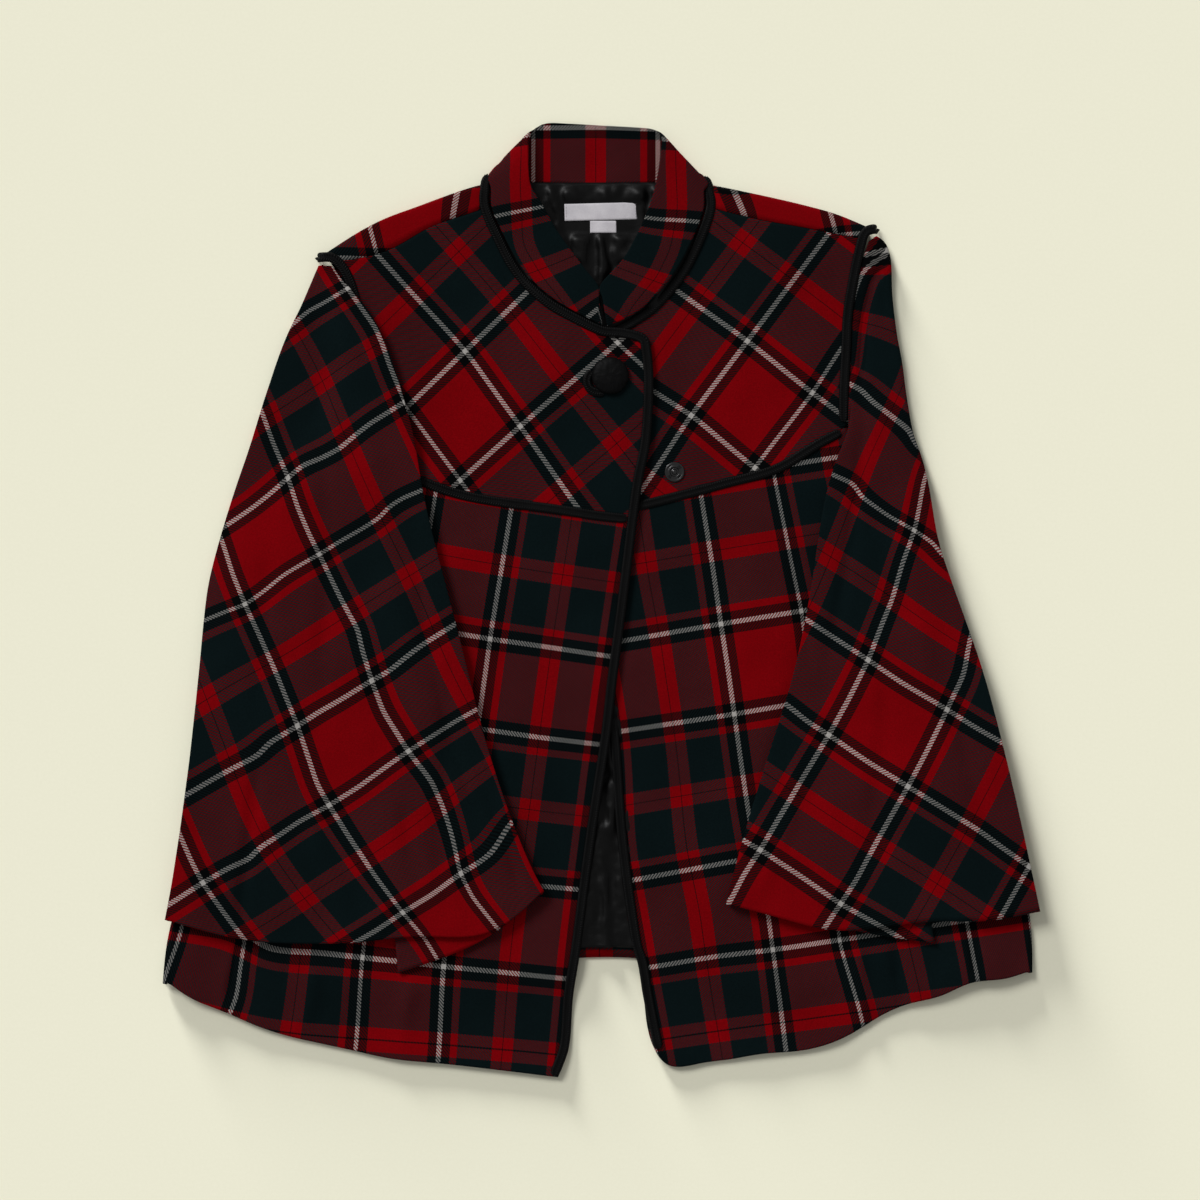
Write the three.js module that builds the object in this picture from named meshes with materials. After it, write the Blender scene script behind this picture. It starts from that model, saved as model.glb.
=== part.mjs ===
// A cape-style wool swing jacket lying flat, front up, with its right front lapped over its left.
// Millimetres. +Z points up from the table, +Y towards the collar, +X to the wearer's left.
// The origin is on the table under the middle of the jacket. Each table of points runs in the
// order that its heading names; "right" and "left" are the wearer's.
import * as THREE from 'three';

// Cloth walls
const WOOL = 2;
const SATIN = 0.9;
const COLLAR_WALL = 3;
const BRAID_WALL = 1.2;
const BRAID_WIDTH = 8;
const LABEL_WALL = 1;
const SEAM_GAP = 0.35;

// Heights of the middle of each cloth layer above the table
const BACK_Z = 1;
const LINING_Z = 2.85;
const FRONT_Z = 4.6;
const LAP_RISE = 3.9;
const SHOULDER_Z = 8;
const UNDER_SLEEVE_Z = 8.7;
const TABLE_SLEEVE_Z = 1.1;
const SLEEVE_FOLD = 4.4;
const FACING_RISE = 4.5;

// Widths over which one layer eases down off another
const SHOULDER_EASE = 70;
const HEM_EASE = 34;
const LAP_EASE = 34;
const LAP_END = 205;
const SLEEVE_REST = 12;
const SLEEVE_EASE = 30;
const CAP_EASE = 34;

// Front edges, from the neck corner to the hem
const FRONT_EDGE_RIGHT = [
  [40.8, 203.2], [43.2, 176], [40.8, 128], [34.4, 94.4], [30, 62.4], [22.4, 0], [14, -64], [8.4, -112],
  [-3.6, -192], [-15.2, -280], [-21.1, -317.6], [-24.3, -357.6], [-32.8, -382.4],
];
const FRONT_EDGE_LEFT = [
  [-37.6, 198.4], [-28.8, 136], [-17.6, 66.4], [-6.4, -8], [3.2, -72], [8.8, -108], [15.2, -192],
  [26, -272], [31.6, -292], [35.7, -317.6], [43.1, -357.6], [55.2, -372.8],
];

// Neck seams, from the shoulder to the centre front
const NECK_RIGHT = [
  [-87.6, 314.4], [-79.2, 294.4], [-63.2, 264.8], [-40, 241.6], [-16.8, 228], [3.2, 218.8],
];
const NECK_LEFT = [
  [85.6, 314.4], [79.2, 294.4], [64.8, 264.8], [44, 239.2], [25.6, 225.6], [12.8, 218.8],
];

// Top edges of the lap, from the centre front to the front edge
const LAP_TOP_RIGHT = [[3.2, 218.8], [18.4, 217.2], [31.2, 214.4], [38.4, 210.4], [40.8, 203.2]];
const LAP_TOP_LEFT = [[12.8, 218.8], [0.8, 213.6], [-19.2, 209.6], [-32.8, 206.4], [-37.6, 198.4]];

// Yoke seams, from the armhole to the front edge
const YOKE_SEAM_RIGHT = [
  [-196.8, 130.4], [-171.2, 110.4], [-142.4, 95.2], [-102.4, 82.4], [-36.8, 72.8], [0.8, 67.2],
  [30, 64],
];
const YOKE_SEAM_LEFT = [
  [199.2, 140], [172.8, 123.2], [141.6, 104.8], [99.2, 92.8], [69.6, 84.8], [31.2, 75.2],
  [-17.6, 66.4],
];

// Front armholes, from the shoulder to the underarm
const ARMHOLE_RIGHT = [
  [-212, 270.4], [-207.2, 262.4], [-201.6, 250.4], [-198.4, 236], [-196.8, 208], [-196, 172],
  [-196.8, 130.4],
];
const ARMHOLE_LEFT = [
  [214.4, 288], [210.4, 275.2], [206.4, 255.2], [202.4, 229.6], [200.8, 196.8], [199.2, 164],
  [199.2, 140],
];

// Front shoulder seams and the shoulder folds above them, from the armhole to the neck
const SHOULDER_SEAM_RIGHT = [
  [-212, 270.4], [-179.2, 276], [-159.2, 284], [-137.6, 296.8], [-118.4, 304], [-87.6, 314.4],
];
const SHOULDER_SEAM_LEFT = [[214.4, 288], [188.8, 292.8], [156, 299.2], [128.8, 304], [85.6, 314.4]];
const SHOULDER_FOLD_RIGHT = [
  [-219.2, 277.6], [-203.2, 288], [-179.2, 302.4], [-143.2, 316], [-115.2, 326.4], [-93.6, 332.8],
];
const SHOULDER_FOLD_LEFT = [[215.6, 298.4], [188.8, 309.6], [156, 318.4], [120, 326.4], [92, 332]];

// Side seams, from the underarm to the hem
const SIDE_RIGHT = [
  [-196.8, 130.4], [-236.8, 80], [-269.6, 0], [-295.2, -80], [-316, -160], [-332, -224],
  [-344.8, -264.8], [-349.6, -307.2],
];
const SIDE_LEFT = [
  [199.2, 140], [236.8, 80], [268.8, 0], [292.8, -80], [316.8, -160], [335.2, -216], [345.6, -252],
  [347.2, -298.4],
];

// Hems, from the side seam to the front edge, and the back hem from right to left
const HEM_RIGHT = [
  [-349.6, -307.2], [-331.2, -316.8], [-302.4, -328.8], [-280.8, -338.4], [-248, -349.6],
  [-212, -357.6], [-163.2, -368], [-128, -371.2], [-85.6, -376], [-32.8, -382.4],
];
const HEM_LEFT = [
  [347.2, -298.4], [334.4, -303.2], [304.8, -304], [283.2, -312.8], [266.4, -320], [242.4, -324.8],
  [212.8, -340.8], [198.4, -349.6], [168.8, -360], [126.4, -364], [96.8, -369.6], [55.2, -372.8],
];
const BACK_HEM = [
  [-345.6, -300], [-239.2, -305.6], [-119.2, -297.6], [0, -286.4], [120.8, -294.4], [240.8, -300],
  [343.2, -291],
];

// Back neck seam from right to left, between the ends of the two shoulder folds
const BACK_NECK = [
  [-93.6, 332.8], [-75.2, 333.2], [-37.6, 332.4], [0, 332], [37.6, 332.4], [74.4, 333.2], [92, 332],
];

// Middle lines of the armhole braids on the yokes, and the turn of each round the end of the
// shoulder fold, from the table up
const BRAID_ARMHOLE_RIGHT = [
  [-214.8, 274], [-212.8, 273.8], [-204.8, 265.6], [-199.2, 254.4], [-194.4, 236.8], [-192.4, 208],
  [-191.6, 172], [-192.4, 135.2],
];
const BRAID_ARMHOLE_LEFT = [
  [212.8, 294.8], [210, 290.4], [206, 275.2], [202, 255.2], [198, 229.6], [196.4, 196.8],
  [194.8, 164], [194.8, 143.2],
];
const BRAID_TURN_RIGHT = [[-224.4, 274, 1.3], [-224.4, 274, 5.2], [-223.2, 274, 8.6], [-220.4, 274, 9.9]];
const BRAID_TURN_LEFT = [[221.8, 296.8, 1.3], [221.8, 296.8, 5.2], [220.6, 296.6, 8.6], [217.8, 296.2, 9.9]];

// Half of the back lining: its edge from the neck to the hem
const LINING_EDGE = [[-63.2, 330.4], [-91.2, 240], [-104.8, 80], [-95.2, -80], [-79.2, -278]];

// Sleeves, from the shoulder to the cuff: the inner fold, the outer fold, the seam edge that meets
// the front, the seam edge that meets the back, and how far the inner fold is turned (0 to 1)
const SLEEVE_RIGHT = {
  side: -1,
  inner: [
    [-212.8, 267.2], [-205.6, 258.4], [-195.2, 247.2], [-179.2, 224], [-168, 200], [-157.6, 167.2],
    [-148, 131.2], [-140, 83.2], [-128, 32], [-110.4, -36], [-90.4, -116], [-64, -194.4],
    [-44.8, -235.2],
  ],
  outer: [
    [-224.8, 267.2], [-232, 250.4], [-240.8, 230.4], [-252, 207.2], [-264, 172], [-275.2, 136],
    [-287.2, 100], [-299.2, 62.4], [-312.8, 8], [-319.2, -60], [-325.6, -124], [-335.2, -200],
    [-344.8, -256.8],
  ],
  front: [
    [-213.6, 266.8], [-208.6, 259.2], [-203, 247.2], [-199.6, 230.4], [-198, 204], [-197.2, 172],
    [-197.6, 136], [-195.2, 88], [-189.6, 32], [-183.2, -40], [-176.8, -112], [-168.8, -200],
    [-160.8, -298.4],
  ],
  back: [
    [-215.2, 264], [-210.4, 256], [-204.8, 245.6], [-200.8, 230.4], [-199.2, 204], [-198.4, 172],
    [-199.2, 134.4], [-196.8, 88], [-191.2, 32], [-184.8, -40], [-178.4, -112], [-170.4, -200],
    [-164.8, -267.2],
  ],
  turn: [0, 0.1, 0.5, 1, 1, 1, 1, 1, 1, 1, 1, 1, 1],
  hem: [
    [-344.8, -256.8], [-331.2, -264], [-302.4, -268.8], [-274.4, -272.8], [-232, -274.4],
    [-194.4, -273.6], [-155.2, -269.6], [-104.8, -265.6], [-77.6, -264.8], [-63.2, -256.8],
    [-44.8, -235.2],
  ],
  facingHem: [
    [-160.8, -298.4], [-143.2, -293.6], [-111.2, -281.6], [-77.6, -264.8], [-59.2, -252],
    [-47.2, -238.4],
  ],
};
const SLEEVE_LEFT = {
  side: 1,
  inner: [
    [216, 287.2], [211.6, 274.4], [207.6, 255.2], [203.6, 229.6], [202, 196.8], [200.4, 164],
    [197.6, 136], [186.4, 104], [176, 56.8], [160.8, -40], [136, -126.4], [117.6, -188], [104, -244],
  ],
  outer: [
    [222.4, 291.2], [232.8, 280], [234.8, 251.2], [238, 217.6], [243.2, 189.6], [247.2, 160],
    [252.8, 131.2], [262.4, 101.6], [270.4, 52], [284, 8], [303.2, -48], [325.6, -132],
    [351.2, -249.6],
  ],
  front: [
    [216, 287.2], [211.6, 274.4], [207.6, 255.2], [203.6, 229.6], [202, 196.8], [200.4, 164],
    [200.4, 137.6], [204, 96], [209.6, 48], [221.6, -28], [237.6, -108], [253.6, -188],
    [268.4, -274.4],
  ],
  back: [
    [217.6, 284.8], [214, 272.8], [210.4, 253.6], [206.4, 229.6], [204, 196.8], [202.8, 164],
    [202.4, 137.6], [205.6, 96], [211.2, 48], [223.2, -28], [239.2, -108], [255.2, -188],
    [269.6, -252],
  ],
  turn: [0, 0, 0, 0, 0, 0.1, 0.5, 1, 1, 1, 1, 1, 1],
  hem: [
    [351.2, -249.6], [319.2, -256], [264.8, -256.8], [224, -261.6], [180, -263.2], [136, -252],
    [104, -244],
  ],
  facingHem: [[268.4, -274.4], [240.8, -272], [201.6, -263.2], [152.8, -252], [108.8, -244]],
};

// Band collar, from its right front end round the back to its left front end: the seam edge and
// the free edge at each station, with their heights
const COLLAR = [
  { part: 'wing', seam: [2.4, 219.8, 9.9], free: [-0.8, 251.2, 11.2] },
  { part: 'wing', seam: [-16.2, 229.3, 9.9], free: [-9.6, 262.4, 11.8] },
  { part: 'wing', seam: [-39, 243, 9.9], free: [-21.6, 278.4, 12.4] },
  { part: 'wing', seam: [-61.6, 266, 9.8], free: [-35.2, 297.6, 12.8] },
  { part: 'wing', seam: [-77.6, 295.2, 9.8], free: [-46.4, 318, 12.8] },
  { part: 'wing', seam: [-85.8, 314.4, 9.8], free: [-55.2, 332.8, 12.6] },
  { part: 'fold', seam: [-86, 328, 9.6], free: [-56.4, 355.2, 11.8] },
  { part: 'back', seam: [-80, 334.4, 1.7], free: [-48, 378.4, 1.7] },
  { part: 'back', seam: [-60, 334.8, 1.7], free: [-36, 380.4, 1.7] },
  { part: 'back', seam: [-30.4, 334.4, 1.7], free: [-17.6, 380.4, 1.7] },
  { part: 'back', seam: [0, 334, 1.7], free: [0, 379.6, 1.7] },
  { part: 'back', seam: [30.4, 334.4, 1.7], free: [17.6, 379.6, 1.7] },
  { part: 'back', seam: [60, 334.8, 1.7], free: [34.4, 379.2, 1.7] },
  { part: 'fold', seam: [78.4, 334.4, 1.7], free: [44, 378, 1.7] },
  { part: 'wing', seam: [83.6, 326.4, 9.6], free: [49.6, 360, 11.8] },
  { part: 'wing', seam: [83.8, 314.4, 9.8], free: [47.2, 341.6, 12.6] },
  { part: 'wing', seam: [77.4, 295.2, 9.8], free: [42.4, 321.6, 12.8] },
  { part: 'wing', seam: [63.2, 266.2, 9.8], free: [35.2, 302.4, 12.8] },
  { part: 'wing', seam: [42.7, 240.6, 9.6], free: [23.2, 278.4, 12.4] },
  { part: 'wing', seam: [24.6, 227, 9.2], free: [12, 264, 11.8] },
  { part: 'wing', seam: [6.4, 219.2, 8.8], free: [0.8, 251.2, 11.2] },
];
const COLLAR_FOLD_RIGHT = { seam: [-87.2, 340], free: [-54, 374.8] };
const COLLAR_FOLD_LEFT = { seam: [85.6, 335.2], free: [49.6, 374.8] };

// Fastenings and labels
const BUTTON = { x: 9, y: 179.2, radius: 15.2, height: 7.5 };
const BINDING = { x: -3.6, y: 170.4, width: 26, height: 10, wall: 1.4, radius: 4.8, turn: 42 };
const SNAP = { x: 60.4, y: 102.4, radius: 8, height: 2.6 };
const LABEL = { x: 1.4, y: 311.2, width: 58, height: 13.6, turn: 1.4 };
const SIZE_TAG = { x: 3.4, y: 299, width: 21, height: 9.6, turn: 0 };

const point = (x, y, z = 0) => new THREE.Vector3(x, y, z);
const lerp = THREE.MathUtils.lerp;

function ease(t) {
  const c = THREE.MathUtils.clamp(t, 0, 1);
  return c * c * (3 - 2 * c);
}

// A smooth curve through a table of points, read at count + 1 even steps of its length.
function along(table, count) {
  const curve = new THREE.CatmullRomCurve3(table.map((p) => point(...p)), false, 'centripetal');
  return curve.getSpacedPoints(count);
}

// Several curves end to end as one list of points.
function chain(...parts) {
  return parts.flatMap((part, i) => (i === 0 ? part : part.slice(1)));
}

// A smooth value from a table of rows at row number t, for lists of numbers or of points.
function rowAt(table, t) {
  const low = Math.min(Math.floor(t), table.length - 2);
  const f = t - low;
  const pick = (i) => [table[THREE.MathUtils.clamp(i, 0, table.length - 1)]].flat();
  const [a, b, c, d] = [pick(low - 1), pick(low), pick(low + 1), pick(low + 2)];
  const value = b.map((v, k) => {
    const bend = 2 * a[k] - 5 * v + 4 * c[k] - d[k];
    const twist = 3 * v - 3 * c[k] + d[k] - a[k];
    return v + 0.5 * f * (c[k] - a[k] + f * (bend + f * twist));
  });
  return value.length === 1 ? value[0] : point(...value);
}

// The value across a table of points at x, or up it at y, on straight lines between its rows.
function readTable(table, key, at) {
  const other = 1 - key;
  const rows = [...table].sort((a, b) => a[key] - b[key]);
  const clamped = THREE.MathUtils.clamp(at, rows[0][key], rows[rows.length - 1][key]);
  const next = Math.max(1, rows.findIndex((row) => row[key] >= clamped));
  const [a, b] = [rows[next - 1], rows[next]];
  return lerp(a[other], b[other], (clamped - a[key]) / (b[key] - a[key]));
}

// The distance in plan from a place to a line of points.
function distanceTo(table, x, y) {
  const nearest = new THREE.Vector3();
  const here = point(x, y);
  let best = Infinity;
  for (let i = 1; i < table.length; i += 1) {
    const piece = new THREE.Line3(point(table[i - 1][0], table[i - 1][1]), point(table[i][0], table[i][1]));
    piece.closestPointToPoint(here, true, nearest);
    best = Math.min(best, nearest.distanceTo(here));
  }
  return best;
}

// A Coons patch: rows run down from the top edge, columns from the start edge to the end edge.
function patch(top, bottom, start, end) {
  const rows = start.length - 1;
  const columns = top.length - 1;
  return start.map((_, i) => top.map((__, j) => {
    const u = j / columns;
    const v = i / rows;
    const p = top[j].clone().multiplyScalar(1 - v).addScaledVector(bottom[j], v);
    p.addScaledVector(start[i], 1 - u).addScaledVector(end[i], u);
    p.addScaledVector(top[0], -(1 - u) * (1 - v)).addScaledVector(top[columns], -u * (1 - v));
    p.addScaledVector(bottom[0], -(1 - u) * v).addScaledVector(bottom[columns], -u * v);
    return p;
  }));
}

// Unit normals of a grid of points, on the side that faces up when rows run down and columns right.
function gridNormals(grid) {
  const rows = grid.length - 1;
  const columns = grid[0].length - 1;
  return grid.map((row, i) => row.map((_, j) => {
    const across = grid[i][Math.min(j + 1, columns)].clone().sub(grid[i][Math.max(j - 1, 0)]);
    const down = grid[Math.min(i + 1, rows)][j].clone().sub(grid[Math.max(i - 1, 0)][j]);
    return down.cross(across).normalize();
  }));
}

// A closed cloth wall round the middle surface given by a grid of points.
function clothWall(name, grid, wall, material) {
  const normals = gridNormals(grid);
  const rows = grid.length;
  const columns = grid[0].length;
  const moved = (p, normal, side) => p.clone().addScaledVector(normal, side * wall / 2);
  const face = (side) => grid.map((row, i) => row.map((p, j) => moved(p, normals[i][j], side)));
  const outer = face(1);
  const inner = face(-1);
  const positions = [outer, inner].flat(2).flatMap((p) => [p.x, p.y, p.z]);
  const at = (side, i, j) => side * rows * columns + i * columns + j;
  const index = [];
  const quad = (a, b, c, d) => index.push(a, b, c, a, c, d);
  for (let i = 0; i < rows - 1; i += 1) {
    for (let j = 0; j < columns - 1; j += 1) {
      quad(at(0, i, j), at(0, i + 1, j), at(0, i + 1, j + 1), at(0, i, j + 1));
      quad(at(1, i, j), at(1, i, j + 1), at(1, i + 1, j + 1), at(1, i + 1, j));
    }
  }
  for (let j = 0; j < columns - 1; j += 1) {
    quad(at(0, 0, j), at(0, 0, j + 1), at(1, 0, j + 1), at(1, 0, j));
    quad(at(0, rows - 1, j + 1), at(0, rows - 1, j), at(1, rows - 1, j), at(1, rows - 1, j + 1));
  }
  for (let i = 0; i < rows - 1; i += 1) {
    quad(at(0, i + 1, 0), at(0, i, 0), at(1, i, 0), at(1, i + 1, 0));
    quad(at(0, i, columns - 1), at(0, i + 1, columns - 1), at(1, i + 1, columns - 1), at(1, i, columns - 1));
  }
  const geometry = new THREE.BufferGeometry();
  geometry.setAttribute('position', new THREE.Float32BufferAttribute(positions, 3));
  geometry.setIndex(index);
  geometry.computeVertexNormals();
  const mesh = new THREE.Mesh(geometry, material);
  mesh.name = name;
  mesh.userData.faces = [outer, inner];
  return mesh;
}

// The height of the highest of the given pieces' faces at a place, or null beside them.
function topAt(pieces, x, y) {
  let best = null;
  for (const grid of pieces.flatMap((piece) => piece.userData.faces)) {
    for (let i = 0; i < grid.length - 1; i += 1) {
      for (let j = 0; j < grid[0].length - 1; j += 1) {
        const [a, b, c, d] = [grid[i][j], grid[i + 1][j], grid[i + 1][j + 1], grid[i][j + 1]];
        for (const [p, q, r] of [[a, b, c], [a, c, d]]) {
          const area = (q.x - p.x) * (r.y - p.y) - (q.y - p.y) * (r.x - p.x);
          const v = ((x - p.x) * (r.y - p.y) - (y - p.y) * (r.x - p.x)) / area;
          const w = ((q.x - p.x) * (y - p.y) - (q.y - p.y) * (x - p.x)) / area;
          if (v >= -1e-6 && w >= -1e-6 && v + w <= 1 + 1e-6) {
            const z = p.z + v * (q.z - p.z) + w * (r.z - p.z);
            best = best === null ? z : Math.max(best, z);
          }
        }
      }
    }
  }
  return best;
}

// A half turn from one layer to another round a fold: steps - 1 points between them.
function foldPoints(from, fold, to, steps) {
  const middle = from.clone().add(to).multiplyScalar(0.5);
  const half = from.clone().sub(to).multiplyScalar(0.5);
  const bulge = point(fold.x - middle.x, fold.y - middle.y);
  const points = [];
  for (let k = 1; k < steps; k += 1) {
    const angle = Math.PI * k / steps;
    const p = middle.clone().addScaledVector(half, Math.cos(angle));
    points.push(p.addScaledVector(bulge, Math.sin(angle)));
  }
  return points;
}

// Plan direction from one point to another.
function direction(from, to) {
  return point(to.x - from.x, to.y - from.y).normalize();
}

// Height of the middle of a front panel, where it lies on the back, on the other front or on the table.
function frontHeight(x, y, lapped) {
  const hem = readTable(BACK_HEM, 0, x);
  const overBack = ease((y - hem + HEM_EASE) / (HEM_EASE - 12));
  const shoulder = x < 0 ? SHOULDER_SEAM_RIGHT : SHOULDER_SEAM_LEFT;
  const nearShoulder = ease(1 - distanceTo(shoulder, x, y) / SHOULDER_EASE);
  let z = BACK_Z + (FRONT_Z - BACK_Z) * overBack + (SHOULDER_Z - FRONT_Z) * nearShoulder;
  if (lapped) {
    const edge = y > FRONT_EDGE_LEFT[0][1] ? FRONT_EDGE_LEFT[0][0] : readTable(FRONT_EDGE_LEFT, 1, y);
    const across = ease((x - edge + LAP_EASE + 5) / LAP_EASE);
    const down = ease((y + LAP_END) / 45);
    z += LAP_RISE * across * down * (1 - 0.9 * nearShoulder);
  }
  return z;
}

// Height of the middle of the under side of a sleeve: over the body, or down on the table beside it.
function underSleeveHeight(x, y, sleeve) {
  const seam = sleeve.side < 0 ? SIDE_RIGHT : SIDE_LEFT;
  const inside = y < seam[0][1] && sleeve.side * (readTable(seam, 1, y) - x) > 0;
  const away = inside ? 0 : distanceTo(seam, x, y);
  return lerp(UNDER_SLEEVE_Z, TABLE_SLEEVE_Z, ease((away - SLEEVE_REST) / SLEEVE_EASE));
}

// A front panel's outer edge rolls down to the table round the edge of the back.
const SIDE_ROLL = [[1.05, 0.1], [1.05, 1.9], [1.9, 3.5], [4, FRONT_Z]];

const colours = {
  wool: new THREE.MeshStandardMaterial({ color: 0x5a0c10, roughness: 0.92, metalness: 0 }),
  satin: new THREE.MeshStandardMaterial({ color: 0x0d0d0d, roughness: 0.45, metalness: 0 }),
  braid: new THREE.MeshStandardMaterial({ color: 0x0a0b0c, roughness: 0.85, metalness: 0 }),
  button: new THREE.MeshStandardMaterial({ color: 0x0b0b0c, roughness: 0.7, metalness: 0 }),
  snap: new THREE.MeshStandardMaterial({ color: 0x101112, roughness: 0.35, metalness: 0.6 }),
  label: new THREE.MeshStandardMaterial({ color: 0xcfc4cb, roughness: 0.8, metalness: 0 }),
};

// A yoke: its top edge is the shoulder seam, the neck seam and the top of the lap.
function buildYoke(name, side, tables, lapped) {
  const rows = 10;
  const shift = point(0, SEAM_GAP / 2);
  const top = chain(along(tables.shoulder, 5), along(tables.neck, 5), along(tables.lap, 2));
  const seam = along(tables.yokeSeam, 12).map((p) => p.add(shift));
  const armhole = along(tables.armhole, rows);
  const edgeTable = tables.edge.filter((p) => p[1] > tables.yokeSeam[tables.yokeSeam.length - 1][1] + 5);
  const edgeEnd = seam[seam.length - 1];
  const edge = along([...edgeTable, [edgeEnd.x, edgeEnd.y]], rows);
  armhole[rows].copy(seam[0]);
  let grid = patch(top, seam, armhole, edge);
  if (side > 0) grid = grid.map((row) => [...row].reverse());
  grid.flat().forEach((p) => { p.z = frontHeight(p.x, p.y, lapped); });
  return clothWall(name, grid, WOOL, colours.wool);
}

// A lower front: the yoke seam on top, the hem below, the side rolled round the edge of the back.
function buildFront(name, side, tables, lapped) {
  const rows = 16;
  const shift = point(0, -SEAM_GAP / 2);
  const seamPoints = along(tables.yokeSeam, 12).map((p) => p.add(shift));
  const sideLine = along(tables.side, rows);
  sideLine[0].copy(seamPoints[0]);
  const inward = sideLine.map((p, i) => {
    const run = direction(sideLine[Math.max(i - 1, 0)], sideLine[Math.min(i + 1, rows)]);
    return point(side * run.y, -side * run.x);
  });
  const seamEnd = tables.yokeSeam[tables.yokeSeam.length - 1];
  const below = tables.edge.filter((p) => p[1] < seamEnd[1] - 5);
  const edge = along([[seamEnd[0], seamEnd[1] - SEAM_GAP / 2], ...below], rows);
  const start = sideLine.map((p, i) => p.clone().addScaledVector(inward[i], 7));
  const hem = along(tables.hem, 12);
  seamPoints[0].copy(start[0]);
  hem[0].copy(start[rows]);
  const body = patch(seamPoints, hem, start, edge);
  body.flat().forEach((p) => { p.z = frontHeight(p.x, p.y, lapped); });
  let grid = body.map((row, i) => {
    const roll = SIDE_ROLL.map(([inset, z]) => {
      const p = sideLine[i].clone().addScaledVector(inward[i], inset);
      p.z = z;
      return p;
    });
    return [...roll, ...row];
  });
  if (side > 0) grid = grid.map((row) => [...row].reverse());
  return clothWall(name, grid, WOOL, colours.wool);
}

// The back: flat on the table, then rolled over the shoulder folds to the front shoulder seams.
function buildBack() {
  const armholeRows = 5;
  const sideRows = 7;
  const roll = (SHOULDER_Z - BACK_Z) / 2;
  const shoulderColumns = 5;
  const neckColumns = 10;
  const foldLine = chain(
    along(SHOULDER_FOLD_RIGHT, shoulderColumns),
    along(BACK_NECK, neckColumns),
    along([...SHOULDER_FOLD_LEFT].reverse(), shoulderColumns),
  );
  const seamLine = chain(
    along(SHOULDER_SEAM_RIGHT, shoulderColumns),
    along(BACK_NECK, neckColumns),
    along([...SHOULDER_SEAM_LEFT].reverse(), shoulderColumns),
  );
  seamLine[shoulderColumns].copy(point(-92.8, 312.8));
  seamLine[shoulderColumns + neckColumns].copy(point(92.8, 312.8));
  const last = foldLine.length - 1;
  const turned = foldLine.map((_, j) => {
    const fromNeck = Math.min(Math.abs(j - shoulderColumns), Math.abs(j - shoulderColumns - neckColumns));
    const inNeck = j > shoulderColumns && j < shoulderColumns + neckColumns;
    if (!inNeck) return 1;
    return fromNeck === 1 ? 0.3 : 0;
  });
  const outward = foldLine.map((p, j) => {
    const run = direction(foldLine[Math.max(j - 1, 0)], foldLine[Math.min(j + 1, last)]);
    return point(-run.y, run.x);
  });
  const top = foldLine.map((p, j) => {
    const inset = turned[j] === 1 ? roll + WOOL / 2 : 3.2;
    return p.clone().addScaledVector(outward[j], -inset);
  });
  const hem = along(BACK_HEM, last);
  const edgeOf = (sleeve, seam, corner, end) => {
    const above = sleeve.back.slice(1, 6).map(([x, y]) => [x - sleeve.side * 2, y]);
    const underarm = [seam[0][0] - sleeve.side * 5, seam[0][1] - 2];
    const below = seam.slice(1).map(([x, y]) => [x - sleeve.side * 3.6, y]);
    const line = chain(
      along([[corner.x, corner.y], ...above, underarm], armholeRows),
      along([underarm, ...below], sideRows),
    );
    line[line.length - 1].copy(end);
    return line;
  };
  const start = edgeOf(SLEEVE_RIGHT, SIDE_RIGHT, top[0], hem[0]);
  const end = edgeOf(SLEEVE_LEFT, SIDE_LEFT, top[last], hem[last]);
  const flat = patch(top, hem, start, end);
  flat.flat().forEach((p) => { p.z = BACK_Z; });
  const steps = 4;
  const rolled = top.map((p, j) => {
    const low = p.clone().setZ(BACK_Z);
    const high = p.clone().setZ(SHOULDER_Z);
    const fold = p.clone().addScaledVector(outward[j], roll);
    const edge = seamLine[j].clone().addScaledVector(direction(seamLine[j], foldLine[j]), SEAM_GAP);
    edge.z = SHOULDER_Z;
    const turnedPoints = [...foldPoints(low, fold, high, steps), high, edge];
    return turnedPoints.map((q, k) => {
      const plain = low.clone().addScaledVector(outward[j], 0.5 * (k + 1));
      return plain.lerp(q, turned[j]);
    });
  });
  const rollRows = rolled[0].map((_, k) => rolled.map((column) => column[k])).reverse();
  return clothWall('back', [...rollRows, ...flat], WOOL, colours.wool);
}

function buildLining() {
  const rows = 10;
  const start = along(LINING_EDGE, rows);
  const end = start.map((p) => point(-p.x, p.y));
  const across = (a, b) => Array.from({ length: 5 }, (_, j) => a.clone().lerp(b, j / 4));
  const grid = patch(across(start[0], end[0]), across(start[rows], end[rows]), start, end);
  grid.flat().forEach((p) => { p.z = LINING_Z; });
  return clothWall('back_lining', grid, SATIN, colours.satin);
}

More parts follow.
